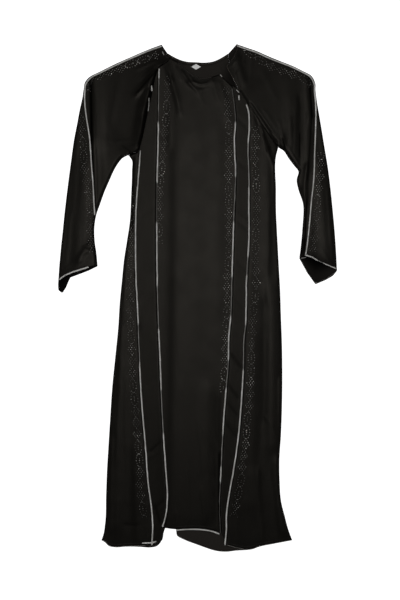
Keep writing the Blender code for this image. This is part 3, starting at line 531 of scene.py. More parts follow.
def clothMaterial(name, look):
    # woven cloth: two tones of the same dye, thread bump, satin gloss that wanders a little,
    # and painted shade from a mesh attribute that darkens tucks, folds and openings
    material, tree, shader, where = newMaterial(name)
    weave = placeGroup(tree, weaveGroup, {"Vector": where.outputs["UV"], "Slub": look["slub"]})
    wear = placeGroup(tree, wearGroup, {"Vector": where.outputs["Object"], "Scale": look["wearScale"]})
    tone = mixColour(tree, wear.outputs["Mask"], look["colour"], look["worn"])
    shaded = mixColour(tree, weave.outputs["Shade"], tone, look["deep"])
    # painted shade, read from the mesh attribute that the finish names
    dark = attribute(tree, look["paintedShadeBy"])
    gloss = mapRange(tree, wear.outputs["Mask"], *look["roughness"])
    crepe = noiseNode(tree, where.outputs["Object"], 900.0, 2.0, 0.6)
    fine = bump(tree, weave.outputs["Height"], look["weaveBump"], 0.00008)
    # painted shade: where the attribute is high the colour goes to the inner tone, and roughness and
    # metallic take the gloss away
    feedAll(tree, shader, {
        "Base Color": mixColour(tree, dark, shaded, look["inner"]),
        "Roughness": mathNode(tree, "ADD", gloss, mathNode(tree, "MULTIPLY", dark, 0.5), clamp=True),
        "Metallic": mathNode(tree, "MULTIPLY", dark, 0.93, clamp=True),  # no gloss deep in a tuck
        "Normal": bump(tree, crepe, look["crepeBump"], 0.0001, fine),
        "Specular IOR Level": look["gloss"], "Specular Tint": (1.0, 0.92, 0.80),
        "Sheen Weight": look["sheen"], "Sheen Roughness": 0.45, "Sheen Tint": (0.62, 0.56, 0.50),
    })
    return material


# the inner colour of each finish is its painted shade, laid in where the attribute it names is high
finishes = {
    "blackCloth": {
        "colour": (0.0044, 0.0041, 0.0034), "worn": (0.0062, 0.0058, 0.0048),
        "deep": (0.0030, 0.0028, 0.0024), "inner": (0.0008, 0.0007, 0.0006), "roughness": (0.33, 0.37),
        "paintedShadeBy": "tuck", "gloss": 0.088, "sheen": 0.008, "slub": 0.5, "wearScale": 20.0,
        "weaveBump": 0.25, "crepeBump": 0.15,
    },
    "clothReverse": {
        "colour": (0.0225, 0.0200, 0.0176), "worn": (0.0300, 0.0266, 0.0233),
        "deep": (0.0170, 0.0152, 0.0135), "inner": (0.0012, 0.0012, 0.0014), "roughness": (0.55, 0.65),
        "paintedShadeBy": "inside", "gloss": 0.07, "sheen": 0.015, "slub": 0.7, "wearScale": 24.0,
        "weaveBump": 0.35, "crepeBump": 0.25,
    },
    "neckBinding": {
        "colour": (0.0100, 0.0090, 0.0080), "worn": (0.0420, 0.0380, 0.0330),
        "deep": (0.0050, 0.0045, 0.0040), "inner": (0.0030, 0.0027, 0.0024), "roughness": (0.32, 0.44),
        "paintedShadeBy": "tuck", "gloss": 0.18, "sheen": 0.02, "slub": 0.3, "wearScale": 60.0,
        "weaveBump": 0.3, "crepeBump": 0.1,
    },
}
blackCloth, clothReverse, neckBinding = (clothMaterial(name, look) for name, look in finishes.items())


def silverMaterial():
    # metallic yarn knitted round a cord: slanting ribs, broken glitter, dulled in places, and painted
    # shade where the cord is tucked under
    look = {"bright": (0.86, 0.85, 0.82), "dull": (0.50, 0.49, 0.46), "dark": (0.20, 0.19, 0.18),
            "tuckedShade": (0.10, 0.095, 0.088)}
    material, tree, shader, where = newMaterial("silverPiping")
    slant = tree.nodes.new("ShaderNodeMapping")
    slant.inputs["Rotation"].default_value = (0.0, 0.0, 0.5)
    link(tree, (where.outputs["UV"], slant.inputs["Vector"]))
    ribs = waveNode(tree, slant.outputs["Vector"], 210.0, "Y")
    glitter = noiseNode(tree, where.outputs["Object"], 1500.0, 2.0, 0.7)
    wear = placeGroup(tree, wearGroup,
                      {"Vector": where.outputs["Object"], "Scale": 45.0, "Low": 0.3, "High": 0.75})
    tone = mixColour(tree, wear.outputs["Mask"], look["bright"], look["dull"])
    gap = mathNode(tree, "MULTIPLY", mathNode(tree, "SUBTRACT", 1.0, ribs), 0.45)
    yarn = mixColour(tree, gap, tone, look["dark"])
    feedAll(tree, shader, {
        # painted shade: the cord darkens where its inner attribute says it is tucked under
        "Base Color": mixColour(tree, attribute(tree, "inner"), yarn, look["tuckedShade"]),
        "Roughness": mapRange(tree, glitter, 0.22, 0.55), "Metallic": 0.35, "Specular IOR Level": 0.6,
        "Normal": bump(tree, glitter, 0.35, 0.0002, bump(tree, ribs, 0.6, 0.0003)),
    })
    return material


def stoneMaterial():
    # small faceted glass stones on foil, with painted glints: a painted glint level and a speckle of
    # facets make each stone bright or nearly dark
    look = {"dark": (0.030, 0.028, 0.026), "bright": (0.72, 0.70, 0.66)}
    material, tree, shader, where = newMaterial("faceted stone")
    specks = noiseNode(tree, where.outputs["Object"], 420.0, 1.0, 0.5)
    facets = mapRange(tree, specks, 0.55, 1.3)
    lit = mathNode(tree, "MULTIPLY", attribute(tree, "glint"), facets, clamp=True)
    feedAll(tree, shader, {
        "Base Color": mixColour(tree, lit, look["dark"], look["bright"]),
        "Roughness": mapRange(tree, specks, 0.22, 0.42), "Metallic": 0.55, "Specular IOR Level": 0.7,
        "Coat Weight": 0.12, "Coat Roughness": 0.15,
    })
    return material


def ribbonMaterial():
    look = {"clean": (0.97, 0.97, 0.96), "shaded": (0.86, 0.86, 0.85)}
    material, tree, shader, where = newMaterial("labelRibbon")
    weave = placeGroup(tree, weaveGroup, {"Vector": where.outputs["Object"], "Threads": 1.4, "Slub": 0.2})
    feedAll(tree, shader, {
        "Base Color": mixColour(tree, weave.outputs["Shade"], look["clean"], look["shaded"]),
        "Roughness": mapRange(tree, weave.outputs["Height"], 0.5, 0.7), "Sheen Weight": 0.1,
        "Normal": bump(tree, weave.outputs["Height"], 0.4, 0.0001),
    })
    return material


def threadMaterial(name, pale, dark):
    material, tree, shader, where = newMaterial(name)
    twist = waveNode(tree, where.outputs["Object"], 700.0, "DIAGONAL")
    fuzz = noiseNode(tree, where.outputs["Object"], 300.0, 2.0, 0.5)
    feedAll(tree, shader, {"Base Color": mixColour(tree, fuzz, pale, dark),
                           "Roughness": mapRange(tree, twist, 0.45, 0.7),
                           "Normal": bump(tree, twist, 0.4, 0.0001)})
    return material


silverPiping = silverMaterial()
facetedStone = stoneMaterial()
labelRibbon = ribbonMaterial()
paleThread = threadMaterial("overlock thread", (0.62, 0.59, 0.54), (0.30, 0.28, 0.25))
brownThread = threadMaterial("brown thread", (0.120, 0.098, 0.072), (0.050, 0.042, 0.034))
blackThread = threadMaterial("black thread", (0.030, 0.027, 0.024), (0.012, 0.011, 0.010))
print("finishes made")

made = {}  # every kept piece by its name


def newPiece(name, work, *materials):
    # a finished bmesh becomes an object with its materials
    mesh = bpy.data.meshes.new(name)
    work.to_mesh(mesh)
    work.free()
    for material in materials:
        mesh.materials.append(material)
    piece = bpy.data.objects.new(name, mesh)
    bpy.context.scene.collection.objects.link(piece)
    return piece


def keep(piece, solid=None):
    # every piece rides on the one body
    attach(piece, "root")
    if solid:
        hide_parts(solid)
    made[piece.name] = piece
    return piece


def cover(piece):
    # a piece that stands for the solid of its name, as pipingCuffLeft for piping_cuff_left
    solid = "".join("_" + letter.lower() if letter.isupper() else letter for letter in piece.name)
    return keep(piece, solid)


def scaleUv(work, layer, wide, long):
    for face in work.faces:
        face.smooth = True
        for loop in face.loops:
            loop[layer].uv = (loop[layer].uv.x * wide, loop[layer].uv.y * long)


def thicken(piece, thickness, offset):
    wall = piece.modifiers.new("wall", "SOLIDIFY")
    wall.thickness = thickness
    wall.offset = offset
    return wall


def clothPiece(name, columns, rows, size, place, inward=False, flipped=False):
    # a grid laid over the piece, its face side in the cloth's colour and the other side in the reverse
    work = bmesh.new()
    layer = work.loops.layers.uv.new("UVMap")
    # two mesh attributes carry painted shade: one for the face side, one for the reverse
    tuck, inside = (work.verts.layers.float.new(label) for label in ("tuck", "inside"))
    bmesh.ops.create_grid(work, x_segments=columns, y_segments=rows, size=0.5, calc_uvs=True)
    for vert in work.verts:  # place gives x, y, z, how dark on the face and on the reverse
        *spot, vert[tuck], vert[inside] = place(vert.co.x + 0.5, vert.co.y + 0.5)
        vert.co = spot
    if flipped:
        bmesh.ops.reverse_faces(work, faces=work.faces[:])
    scaleUv(work, layer, *size)
    piece = newPiece(name, work, blackCloth, clothReverse)
    thicken(piece, garment["wall"], -1.0 if inward else 1.0).material_offset = 1
    return piece


def topOf(pieces):
    # one tree of the finished surfaces, to look down on from above
    bpy.context.view_layer.update()
    graph = bpy.context.evaluated_depsgraph_get()
    points, faces = [], []
    for piece in pieces:
        shape = piece.evaluated_get(graph).to_mesh()
        start = len(points)
        points += [vert.co.copy() for vert in shape.vertices]
        faces += [[start + corner for corner in face.vertices] for face in shape.polygons]
    return BVHTree.FromPolygons(points, faces)


def lookDown(tree, x, y):
    return tree.ray_cast(Vector((x, y, 0.1)), Vector((0, 0, -1)))


def clearOf(tree, x, y, z, room, slope=0.35, reach=0.009):
    # height at which cloth lies over what is below, easing down beside it
    for ring in (0.0, 0.5 * reach, reach):
        for turn in range(8 if ring else 1):
            angle = math.tau * turn / 8
            hit = lookDown(tree, x + ring * math.cos(angle), y + ring * math.sin(angle))[0]
            if hit is not None:
                z = max(z, hit.z + room - slope * ring)
    return z


def spread(left, right, top, hem, power):
    # places on a panel between its two edges, with the bows of its top and hem spread over it
    def at(u, v):
        row, column = round(v * (len(left) - 1)), round(u * (len(top) - 1))
        topBow = top[column] - (top[0] * (1 - u) + top[-1] * u)
        hemBow = hem[column] - (hem[0] * (1 - u) + hem[-1] * u)
        return left[row] * (1 - u) + right[row] * u + topBow * v**power + hemBow * (1 - v) ** power

    return at


# how the edges lie: pressed under beside the piping, or let down on the layer below, with painted shade
# along an edge that is let down
edges = {"under": 0.0005, "underWide": 0.0025, "air": 0.0001, "joinHigh": 0.15, "joinWide": 0.007,
         "shade": 0.6, "shadeWide": 0.0040}


def letDown(height, away, wide):
    low = garment["wall"] + edges["air"]
    return low + (height - low) * (edges["joinHigh"] + (1 - edges["joinHigh"]) * softStep(away / wide))


def frontPanel(spec):
    columns, rows = spec["grid"]
    left, right = (smoothLine(spec[edge], rows + 1)[::-1] for edge in ("left", "right"))
    top, hem = (smoothLine(spec[edge], columns + 1) for edge in ("top", "hem"))
    at = spread(left, right, top, hem, 3)

    def place(u, v):
        row = round(v * rows)
        x, y = at(u, v)
        height = spec["level"](x, y) + relief(frontRelief, x, y)
        # painted shade from the tucks
        depth = paintedShadeIn(frontTuckShade, x, y)
        width = float(np.linalg.norm(right[row] - left[row]))
        if "turned" in spec:  # the seam edge is pressed under beside the piping
            inside = (1 - u if spec["turned"] == "right" else u) * width
            height -= edges["under"] * (1 - softStep(inside / edges["underWide"]))
        if "joined" in spec:  # the side seam lies down on the back panel
            inside = (1 - u if spec["joined"] == "right" else u) * width
            height = letDown(height, inside, edges["joinWide"])
            # painted shade along the edge where it lies down on the back
            depth = max(depth, edges["shade"] * (1 - softStep(inside / edges["shadeWide"])))
        return x, y, height, depth, 0.0

    return clothPiece(spec["name"], columns, rows, spec["cut"][:2], place)


# each sleeve is a lower piece that folds over the outer edge, and a front piece. Tables run from
# the outer edge in, by share of the width: the cuff's reach, the bows of the cuff and of the neck
# edge, and how much of the cuff's piping stands out
# mouthShade gives the painted shade inside the cuff's mouth, at the outer edge and at the inner
sleeves = {
    "Left": {
        "rows": sleeveLeftRows, "start": underStartLeft, "firstRow": 6, "over": 26,
        "cutBack": (0.20, 0.72, 0.114), "cutFront": (0.19, 0.58, 0.050),
        "cuff": [(0.0, 0.030), (0.10, 0.043), (0.20, 0.030), (0.30, 0.0075), (0.75, 0.0065),
                 (1.0, 0.003)],
        "cuffBow": [(0.0, -0.0045), (0.06, -0.0005), (0.18, 0.0040), (0.38, 0.0055), (0.62, 0.0044),
                    (0.76, 0.0036), (0.98, 0.0)],
        "neckBow": [(0.0, 0.0), (1.0, 0.0)], "mouth": 0.0025, "mouthShade": (0.72, 0.62),
        "press": 0.007, "lift": 0.9, "overarmFrom": 42, "cuffEnds": (0.02, 0.78),
        "cord": [(0.0, 0.7), (0.12, 1.0), (1.0, 1.0)],
    },
    "Right": {
        "rows": sleeveRightRows, "start": underStartRight, "firstRow": 0, "over": 20,
        "cutBack": (0.19, 0.69, 0.101), "cutFront": (0.17, 0.66, 0.054),
        "cuff": [(0.0, 0.006), (0.10, 0.022), (0.30, 0.040), (0.57, 0.060), (0.80, 0.034), (1.0, 0.002)],
        "cuffBow": [(0.0, 0.0), (0.27, 0.0036), (0.53, 0.0075), (0.66, 0.0120), (0.86, 0.0122),
                    (0.93, 0.0060), (1.0, 0.0010)],
        "neckBow": [(0.0, 0.0), (0.2, 0.0060), (0.38, 0.0085), (0.62, 0.0060), (0.85, 0.0020),
                    (1.0, 0.0)],
        "mouth": 0.0034, "mouthShade": (0.30, 0.45), "press": 0.022, "lift": 0.5, "overarmFrom": 1,
        "cuffEnds": (0.02, 0.86),
        "cord": [(0.0, 0.65), (0.34, 0.65), (0.38, 0.35), (0.50, 0.35), (0.55, 1.0), (1.0, 1.0)],
    },
}
finer = 7  # rows of the seen sleeve for each of the solid's
sleeveGrid = {"rows": sleeveSteps * finer, "under": 26, "fold": 8, "front": 46}


def rowsOf(values):
    # smooth rows from the cuff up
    wanted = np.linspace(0.0, len(values) - 1.0, sleeveGrid["rows"] + 1)
    return hermite(np.arange(len(values)), values, wanted)[::-1]


def underPoints(sleeve):
    # inner edge of the lower layer
    inner = np.array(sleeve["rows"])[:, 2:4] / 1000
    inner[: len(sleeve["start"])] = sleeve["start"]
    return rowsOf(inner)


for side, sleeve in sleeves.items():
    sleeve["sections"] = rowsOf(np.array(sleeve["rows"]) / (1000, 1000, 1000, 1000, 1, 1000))
    sleeve["sections"][:, 5] *= sleeve["lift"]

# the back is seen at the neck and under the hem
back = {"cut": (0.53, 1.38, 0.559), "raglanRows": 50, "edgeRows": 190, "columns": (28, 4, 50),
        "raglanLeft": 85, "raglanRight": 90, "gap": 0.00012}


def backEdge(side, edge, inward):
    # beside the sleeve's lower layer, then down the side seam
    raglan = underPoints(sleeves[side])[::-1][:back["raglan" + side]]
    raglan += (inward * back["gap"], -back["gap"])
    return np.concatenate([smoothLine(raglan, back["raglanRows"] + 1),
                           smoothLine(edge, back["edgeRows"] + 1)[1:]])[::-1]


def backPanel():
    left, right = backEdge("Left", edgeLeft, 1), backEdge("Right", edgeRight, -1)
    notch = np.linspace(hemBackLeft[-1], hemBackRight[0], back["columns"][1] + 1)
    hem = np.concatenate([smoothLine(hemBackLeft, back["columns"][0] + 1), notch[1:],
                          smoothLine(hemBackRight, back["columns"][2] + 1)[1:]])
    for column in range(1, len(hem)):  # upright stretches still step on a little, so no cell turns over
        hem[column, 0] = max(hem[column, 0], hem[column - 1, 0] + 0.0006)
    at = spread(left, right, smoothLine(backNeckline, len(hem)), hem, 6)

    def place(u, v):
        x, y = at(u, v)
        lift = max(0.0, relief(backRelief, x, y)) if y > 0.612 or y < -0.652 else 0.0
        # painted shade on the reverse, darkest beside the raglan opening and under the neck's rim
        inner = 0.0
        if y > 0.3:  # deepest beside the raglan opening and under the neck's rim
            toOpening = math.hypot(x - 0.094, (y - 0.598) * 0.6)
            toRim = float(np.interp(x, *zip(*backNeckline))) - y
            shadeUnderRim = (0.9 if x < -0.030 else 0.45) * (1 - softStep((toRim - 0.003) / 0.006))
            inner = 0.06 + max(0.45 * (1 - softStep(toOpening / 0.045)), shadeUnderRim)
        return x, y, lift, 0.0, inner

    # its outer face is underneath, so the reverse of the cloth looks up
    return clothPiece("backPanel", len(hem) - 1, len(left) - 1, back["cut"][:2], place, inward=True,
                      flipped=True)


backPiece = keep(backPanel(), "back")
print("back made")


def setback():
    # how far an upper panel's edge stands back from its piping
    return garment["piping"] + 0.0009


# the five front panels
panels = [
    {
        "name": "centrePanel", "node": "centre_front", "cut": (0.225, 1.30, 0.255), "grid": (52, 300),
        "left": raglanLeftCentre + moved(centreLineLeft, -garment["seamMargin"]),
        "right": raglanRightCentre + moved(centreLineRight, garment["seamMargin"]),
        "top": frontNeckline, "hem": hemCentre, "level": onFloor,
    },
    {
        "name": "stripLeft", "node": "strip_left", "cut": (0.078, 1.31, 0.067), "grid": (16, 280),
        "left": raglanLeftStrip + moved(sideLineLeft, -garment["seamMargin"]),
        "right": moved(centreLineLeft[:-1], -setback()) + cornerStripLeft,
        "top": [raglanLeftStrip[0], centreLineLeft[0]], "hem": hemStripLeft, "level": onStripLeft,
        "turned": "right",
    },
    {
        "name": "stripRight", "node": "strip_right", "cut": (0.058, 1.26, 0.051), "grid": (14, 280),
        "left": moved([(0.0925, 0.5880)] + centreLineRight[1:], setback()),
        "right": moved([(0.1070, 0.5775)] + sideLineRight[1:], garment["seamMargin"]),
        "top": [(0.0925, 0.5880), (0.1070, 0.5775)], "hem": hemStripRight, "level": onStripRight,
        "turned": "left",
    },
    {
        "name": "sidePanelLeft", "node": "side_front_left", "cut": (0.135, 1.11, 0.070),
        "grid": (30, 250),
        "left": raglanLeftSide + edgeLeft,
        "right": moved([(-0.1515, 0.4300)] + sideLineLeft[4:], -setback()),
        "top": [raglanLeftSide[0], (-0.1515, 0.4300)], "hem": hemSideLeft,
        "level": lambda x, y: sideLevel(sideLineLeft, x, y), "turned": "right", "joined": "left",
    },
    {
        "name": "sidePanelRight", "node": "side_front_right", "cut": (0.185, 1.23, 0.118),
        "grid": (36, 260),
        "left": moved(sideLineRight[2:], setback()), "right": raglanRightSide + edgeRight,
        "top": [sideLineRight[2], raglanRightSide[0]], "hem": hemSideRight,
        "level": lambda x, y: sideLevel(sideLineRight, x, y), "turned": "left", "joined": "right",
    },
]
frontPieces = [keep(frontPanel(spec), spec["node"]) for spec in panels]
frontTree = topOf(frontPieces)
print("front panels made")


def sleeveTop(section, share):
    # underside of the upper layer, at a share of the way in from the outer edge
    outerX, outerY, innerX, innerY, _, lift = section
    x = outerX + (innerX - outerX) * share
    y = outerY + (innerY - outerY) * share
    width = math.hypot(innerX - outerX, innerY - outerY)
    edge = softStep(share * width / 0.012)
    height = garment["floorLevel"] + lift * share**2 + edge * relief(sleeveRelief, x, y)
    height += garment["sleeveFall"] * share * width
    height -= 0.0007 * (1 - softStep(share * width / 0.004))  # rounded at the fold
    if lift < 0.001:  # below the armhole the inner edge lies down on the lower layer
        height = letDown(height, (1 - share) * width, 0.010)
    return x, y, height


def sleevePaintedShadeAt(section, share, x, y):
    # painted shade in the tucks, and at the edges, where the cloth curves away
    width = math.hypot(section[2] - section[0], section[3] - section[1])
    away = share * width
    if section[5] < 0.001:
        away = min(away, (1 - share) * width)
    return max(paintedShadeIn(sleeveTuckShade, x, y), 0.6 * (1 - softStep(away / 0.0035)))


def sleevePoint(sleeve, row, share):
    # the same with the bows of the cuff and of the neck edge, and the mouth a little open
    x, y, z = sleeveTop(sleeve["sections"][row], share)
    low = max(0.0, 1 - row / (2 * finer)) ** 2
    high = max(0.0, 1 - (sleeveGrid["rows"] - row) / (1.5 * finer)) ** 2
    x += high * float(np.interp(share, *zip(*sleeve["neckBow"])))
    y += low * float(np.interp(share, *zip(*sleeve["cuffBow"])))
    return x, y, z + low * sleeve["mouth"] * math.sin(math.pi * share)


def sleeveBack(side, sleeve):
    # lower layer, fold at the outer edge, and the stretch on top out to the overarm seam
    sections, inner = sleeve["sections"], underPoints(sleeve)
    rows, under, fold, over = sleeveGrid["rows"], sleeveGrid["under"], sleeveGrid["fold"], sleeve["over"]
    columns = under + fold + over
    cuffShares, cuffReach = zip(*sleeve["cuff"])
    outward = 1.0 if sections[0][0] > 0 else -1.0

    def place(u, v):
        row, column = round(v * rows), round(u * columns)
        section = sections[row]
        last = max(0.0, 1 - row / finer)
        if column <= under:
            share = 1 - column / under
            x, y = section[:2] + (inner[row] - section[:2]) * share
            # painted shade on the lower layer inside the sleeve's mouth: dark deep in, lighter towards
            # the hem where it lies open, and less of it near the neck
            bare = softStep((last - 0.12) / 0.65)  # towards the hem it lies open
            atOuter, atInner = sleeve["mouthShade"]
            shade = 1.0 + (atOuter + (atInner - atOuter) * softStep(share * 1.3) - 1.0) * bare
            shade *= 1 - 0.75 * softStep(1 - (rows - row) / (3 * finer))  # and at the neck
            return x, y - last * float(np.interp(share, cuffShares, cuffReach)), 0.0, 0.0, shade
        if column < under + fold:
            turn = (column - under) / fold
            top = sleeveTop(section, 0.0)[2] + garment["wall"]
            bulge = 0.0008 * math.sin(math.pi * turn)
            reach = last * cuffReach[0] * (1 - turn)
            reach -= max(0.0, 1 - row / (2 * finer)) ** 2 * sleeve["cuffBow"][0][1] * turn
            rise = top * (1 - math.cos(math.pi * turn)) / 2
            # the turned fold gets painted shade on its face and on its reverse
            return section[0] + outward * bulge, section[1] - reach, rise, 0.5 * turn, 0.9
        share = section[4] * (column - under - fold) / over
        x, y, z = sleevePoint(sleeve, row, share)
        return x, y, z + garment["wall"], sleevePaintedShadeAt(section, share, x, y), 0.0

    return clothPiece("sleeveBack" + side, columns, rows, sleeve["cutBack"][:2], place, inward=True,
                      flipped=outward > 0)


def sleeveFront(side, sleeve):
    # from the overarm seam to the raglan seam and the inner edge, lying over the front panels
    first = sleeve["firstRow"] * finer
    rows = sleeveGrid["rows"] - first
    leftSide = side == "Left"

    def place(u, v):
        row = first + round(v * rows)
        section = sleeve["sections"][row]
        across = u if leftSide else 1 - u
        width = math.hypot(section[2] - section[0], section[3] - section[1])
        seam = section[4] + garment["gap"] / width
        share = seam + (1 - seam) * across
        x, y, z = sleevePoint(sleeve, row, share)
        below = lookDown(frontTree, x, y)[0]
        if below is not None:  # the raglan edge is pressed down on the panels
            edge = softStep((1 - across) * width / sleeve["press"])
            low = below.z + 0.0004
            z = low + (max(z, low) - low) * (0.08 + 0.92 * edge)
        return x, y, clearOf(frontTree, x, y, z, 0.0004), sleevePaintedShadeAt(section, share, x, y), 0.0

    return clothPiece("sleeveFront" + side, sleeveGrid["front"], rows, sleeve["cutFront"][:2], place)


sleevePieces = []
for side, sleeve in sleeves.items():
    for makeLayer in (sleeveBack, sleeveFront):
        sleevePieces.append(cover(makeLayer(side, sleeve)))
print("sleeves made")


def softCord(name, path, radii, material, sides=12, flat=1.0, seed=0.0, uneven=0.08, tuckedShade=None):
    # a tube rolled from a grid round the path, its ends drawn in and closed
    run = runOf(path)
    path = [Vector(point) for point in path]
    steps = len(path) - 1
    work = bmesh.new()
    layer = work.loops.layers.uv.new("UVMap")
    inner = work.verts.layers.float.new("inner")
    bmesh.ops.create_grid(work, x_segments=sides, y_segments=steps, size=0.5, calc_uvs=True)
    scaleUv(work, layer, math.tau * max(radii), run[-1])
    for vert in work.verts:
        step = round((vert.co.y + 0.5) * steps)
        angle = math.tau * (vert.co.x + 0.5)
        ahead = path[min(steps, step + 1)] - path[max(0, step - 1)]
        ahead.normalize()
        aside = Vector((0, 0, 1)).cross(ahead).normalized()
        above = ahead.cross(aside)
        end = min(run[step], run[-1] - run[step])
        closing = math.sqrt(max(0.0, 1 - (1 - min(1.0, end / radii[step])) ** 2))
        radius = radii[step] * closing * (1 + uneven * noise.noise((run[step] * 160, seed, 0.0)))
        vert.co = path[step] + aside * math.cos(angle) * radius + above * math.sin(angle) * radius * flat
        # the inner attribute carries painted shade where the cord is tucked under
        vert[inner] = tuckedShade[step] if tuckedShade else 0.0
    bmesh.ops.remove_doubles(work, verts=work.verts[:], dist=0.00001)
    bmesh.ops.recalc_face_normals(work, faces=work.faces[:])
    return newPiece(name, work, material)


# the piped seams, with how far the piping stands out from the neck down: y in millimetres, share
seams = {
    "CentreLeft": {
        "line": centreLineLeft, "level": onFloor,
        "shows": [
            (634, 1), (609, 1), (604, 0.45), (518, 0.42), (510, 0.3), (488, 0.35), (480, 1), (322, 1),
            (314, 0.22), (212, 0.22), (204, 1), (39, 1), (30, 0.5), (-83, 0.5), (-91, 1), (-248, 1),
            (-256, 0.5), (-369, 0.5), (-380, 1), (-631, 0.95),
        ],
    },
    "SideLeft": {
        "line": sideLineLeft[4:], "level": onStripLeft,
        "shows": [
            (441, 0.45), (408, 0.6), (391, 0.95), (-66, 1), (-77, 0.5), (-174, 0.5), (-187, 1), (-681, 1),
        ],
    },
    "CentreRight": {
        "line": centreLineRight, "level": onFloor,
        "shows": [
            (579, 0.3), (488, 0.34), (480, 1), (339, 1), (331, 0.45), (215, 0.45), (204, 1), (63, 1),
            (55, 0.5), (-47, 0.45), (-58, 1), (-165, 1), (-174, 0.45), (-245, 0.45), (-256, 1), (-372, 1),
            (-380, 0.5), (-460, 0.5), (-469, 0.85), (-502, 0.85), (-513, 0.4), (-562, 0.35), (-573, 0.2),
            (-650, 0.2),
        ],
    },
    "SideRight": {
        "line": moved([(0.1345, 0.5350)] + sideLineRight[3:], -0.0004), "level": onStripRight,
        "shows": [
            (537, 1), (435, 1), (424, 0.6), (309, 0.6), (298, 1), (119, 1), (110, 0.5), (66, 0.5),
            (58, 1), (-69, 1), (-77, 0.5), (-193, 0.5), (-204, 1), (-681, 1),
        ],
    },
}


def seamPiping(side, line, level, shows):
    # on the lower panel, along the edge of the panel above it
    heights, shares = zip(*shows[::-1])
    points, radii, tuckedShade = [], [], []
    for x, y in smoothLine(line, 420):
        share = float(np.interp(1000 * y, heights, shares))
        share = min(1.0, max(0.2, share + 0.10 * noise.noise((y * 45, line[0][0] * 50, 2.0))))
        radius = garment["piping"] * (0.2 + 0.8 * share)
        lift = level(x, y) + garment["wall"] + garment["above"] + radius + relief(frontRelief, x, y)
        points.append((x + 0.0007 * noise.noise((y * 40, share, 0.0)), y, lift))
        radii.append(radius)
        # painted shade where the piping stands out little and is tucked under the panel
        tuckedShade.append(1 - softStep((share - 0.25) / 0.7))
    return softCord("piping" + side, points, radii, silverPiping, seed=line[0][0] * 40, tuckedShade=tuckedShade)


def overarmPiping(side, sleeve):
    # over the seam between the sleeve's two pieces
    radius = garment["piping"] * 0.9
    points = []
    for row in range(sleeve["overarmFrom"], sleeveGrid["rows"] + 1):
        x, y, z = sleevePoint(sleeve, row, sleeve["sections"][row][4])
        points.append((x, y, z + garment["wall"] + garment["above"] + radius))
    return softCord("pipingSleeve" + side, points, [radius] * len(points), silverPiping, seed=3.0)


def cuffPiping(side, sleeve):
    points, radii, tuckedShade = [], [], []
    for at in np.linspace(*sleeve["cuffEnds"], 61):
        x, y, z = sleevePoint(sleeve, 0, at)
        share = float(np.interp(at, *zip(*sleeve["cord"])))
        radii.append(garment["piping"] * (0.2 + 0.8 * share))
        points.append((x, y, z + garment["wall"] + garment["above"] + radii[-1]))
        # painted shade where the cuff's piping stands out little and is tucked under
        tuckedShade.append(1 - softStep((share - 0.2) / 0.5))
    return softCord("pipingCuff" + side, points, radii, silverPiping, seed=5.0, tuckedShade=tuckedShade)


def laidCord(name, line, count, radius, surface, material, flat=1.0, uneven=0.05):
    # a cord along a line on the plan, lying on the height that surface gives
    points = [(x, y, surface(x, y) + garment["above"] + radius * flat)
              for x, y in smoothLine(line, count)]
    return softCord(name, points, [radius] * count, material, flat=flat, uneven=uneven)


hemLine = moved(hemCentre[1:-1] + [(0.0610, -0.6485)], 0.0, -garment["piping"] - 0.0006)
pipingPieces = [cover(piece) for piece in (
    *(seamPiping(side, **seam) for side, seam in seams.items()),
    *(overarmPiping(side, sleeve) for side, sleeve in sleeves.items()),
    *(cuffPiping(side, sleeve) for side, sleeve in sleeves.items()),
    laidCord("pipingHemCentre", hemLine, 60, garment["piping"], lambda x, y: garment["wall"],
             silverPiping),
)]
print("piping made")


def sleeveBinding(side, sleeve):
    tree = topOf([made["sleeveFront" + side]])
    radius = garment["binding"] * 0.8
    points = []
    for step in range(31):
        x, y, z = sleevePoint(sleeve, sleeveGrid["rows"] - 1, 0.06 + 0.90 * step / 30)
        hit = lookDown(tree, x, y)[0]
        top = hit.z if hit is not None else z + garment["wall"]
        points.append((x, y, top + garment["above"] + radius * 0.75))
    return softCord("binding" + side, points, [radius] * 31, neckBinding, flat=0.75, uneven=0.1)


def frontTop(x, y):
    return garment["floorLevel"] + garment["wall"] + relief(frontRelief, x, y)


for piece in (
    laidCord("bindingBack", moved(backNeckline, 0.0, -garment["binding"]), 90, garment["binding"],
             lambda x, y: garment["wall"] + 0.0006, neckBinding, flat=0.8, uneven=0.1),
    laidCord("bindingFront", moved(frontNeckline[1:-1], 0.0, -garment["binding"]), 70, garment["binding"],
             frontTop, neckBinding, flat=0.75, uneven=0.1),
    *(sleeveBinding(side, sleeve) for side, sleeve in sleeves.items()),
):
    cover(piece)

label = {"size": (0.0265, 0.0155), "thick": 0.0007, "place": (-0.004, 0.6375), "hem": 0.0013,
         "hemLine": (0.0003, -0.00015), "wave": 0.0002, "lift": 0.0003}


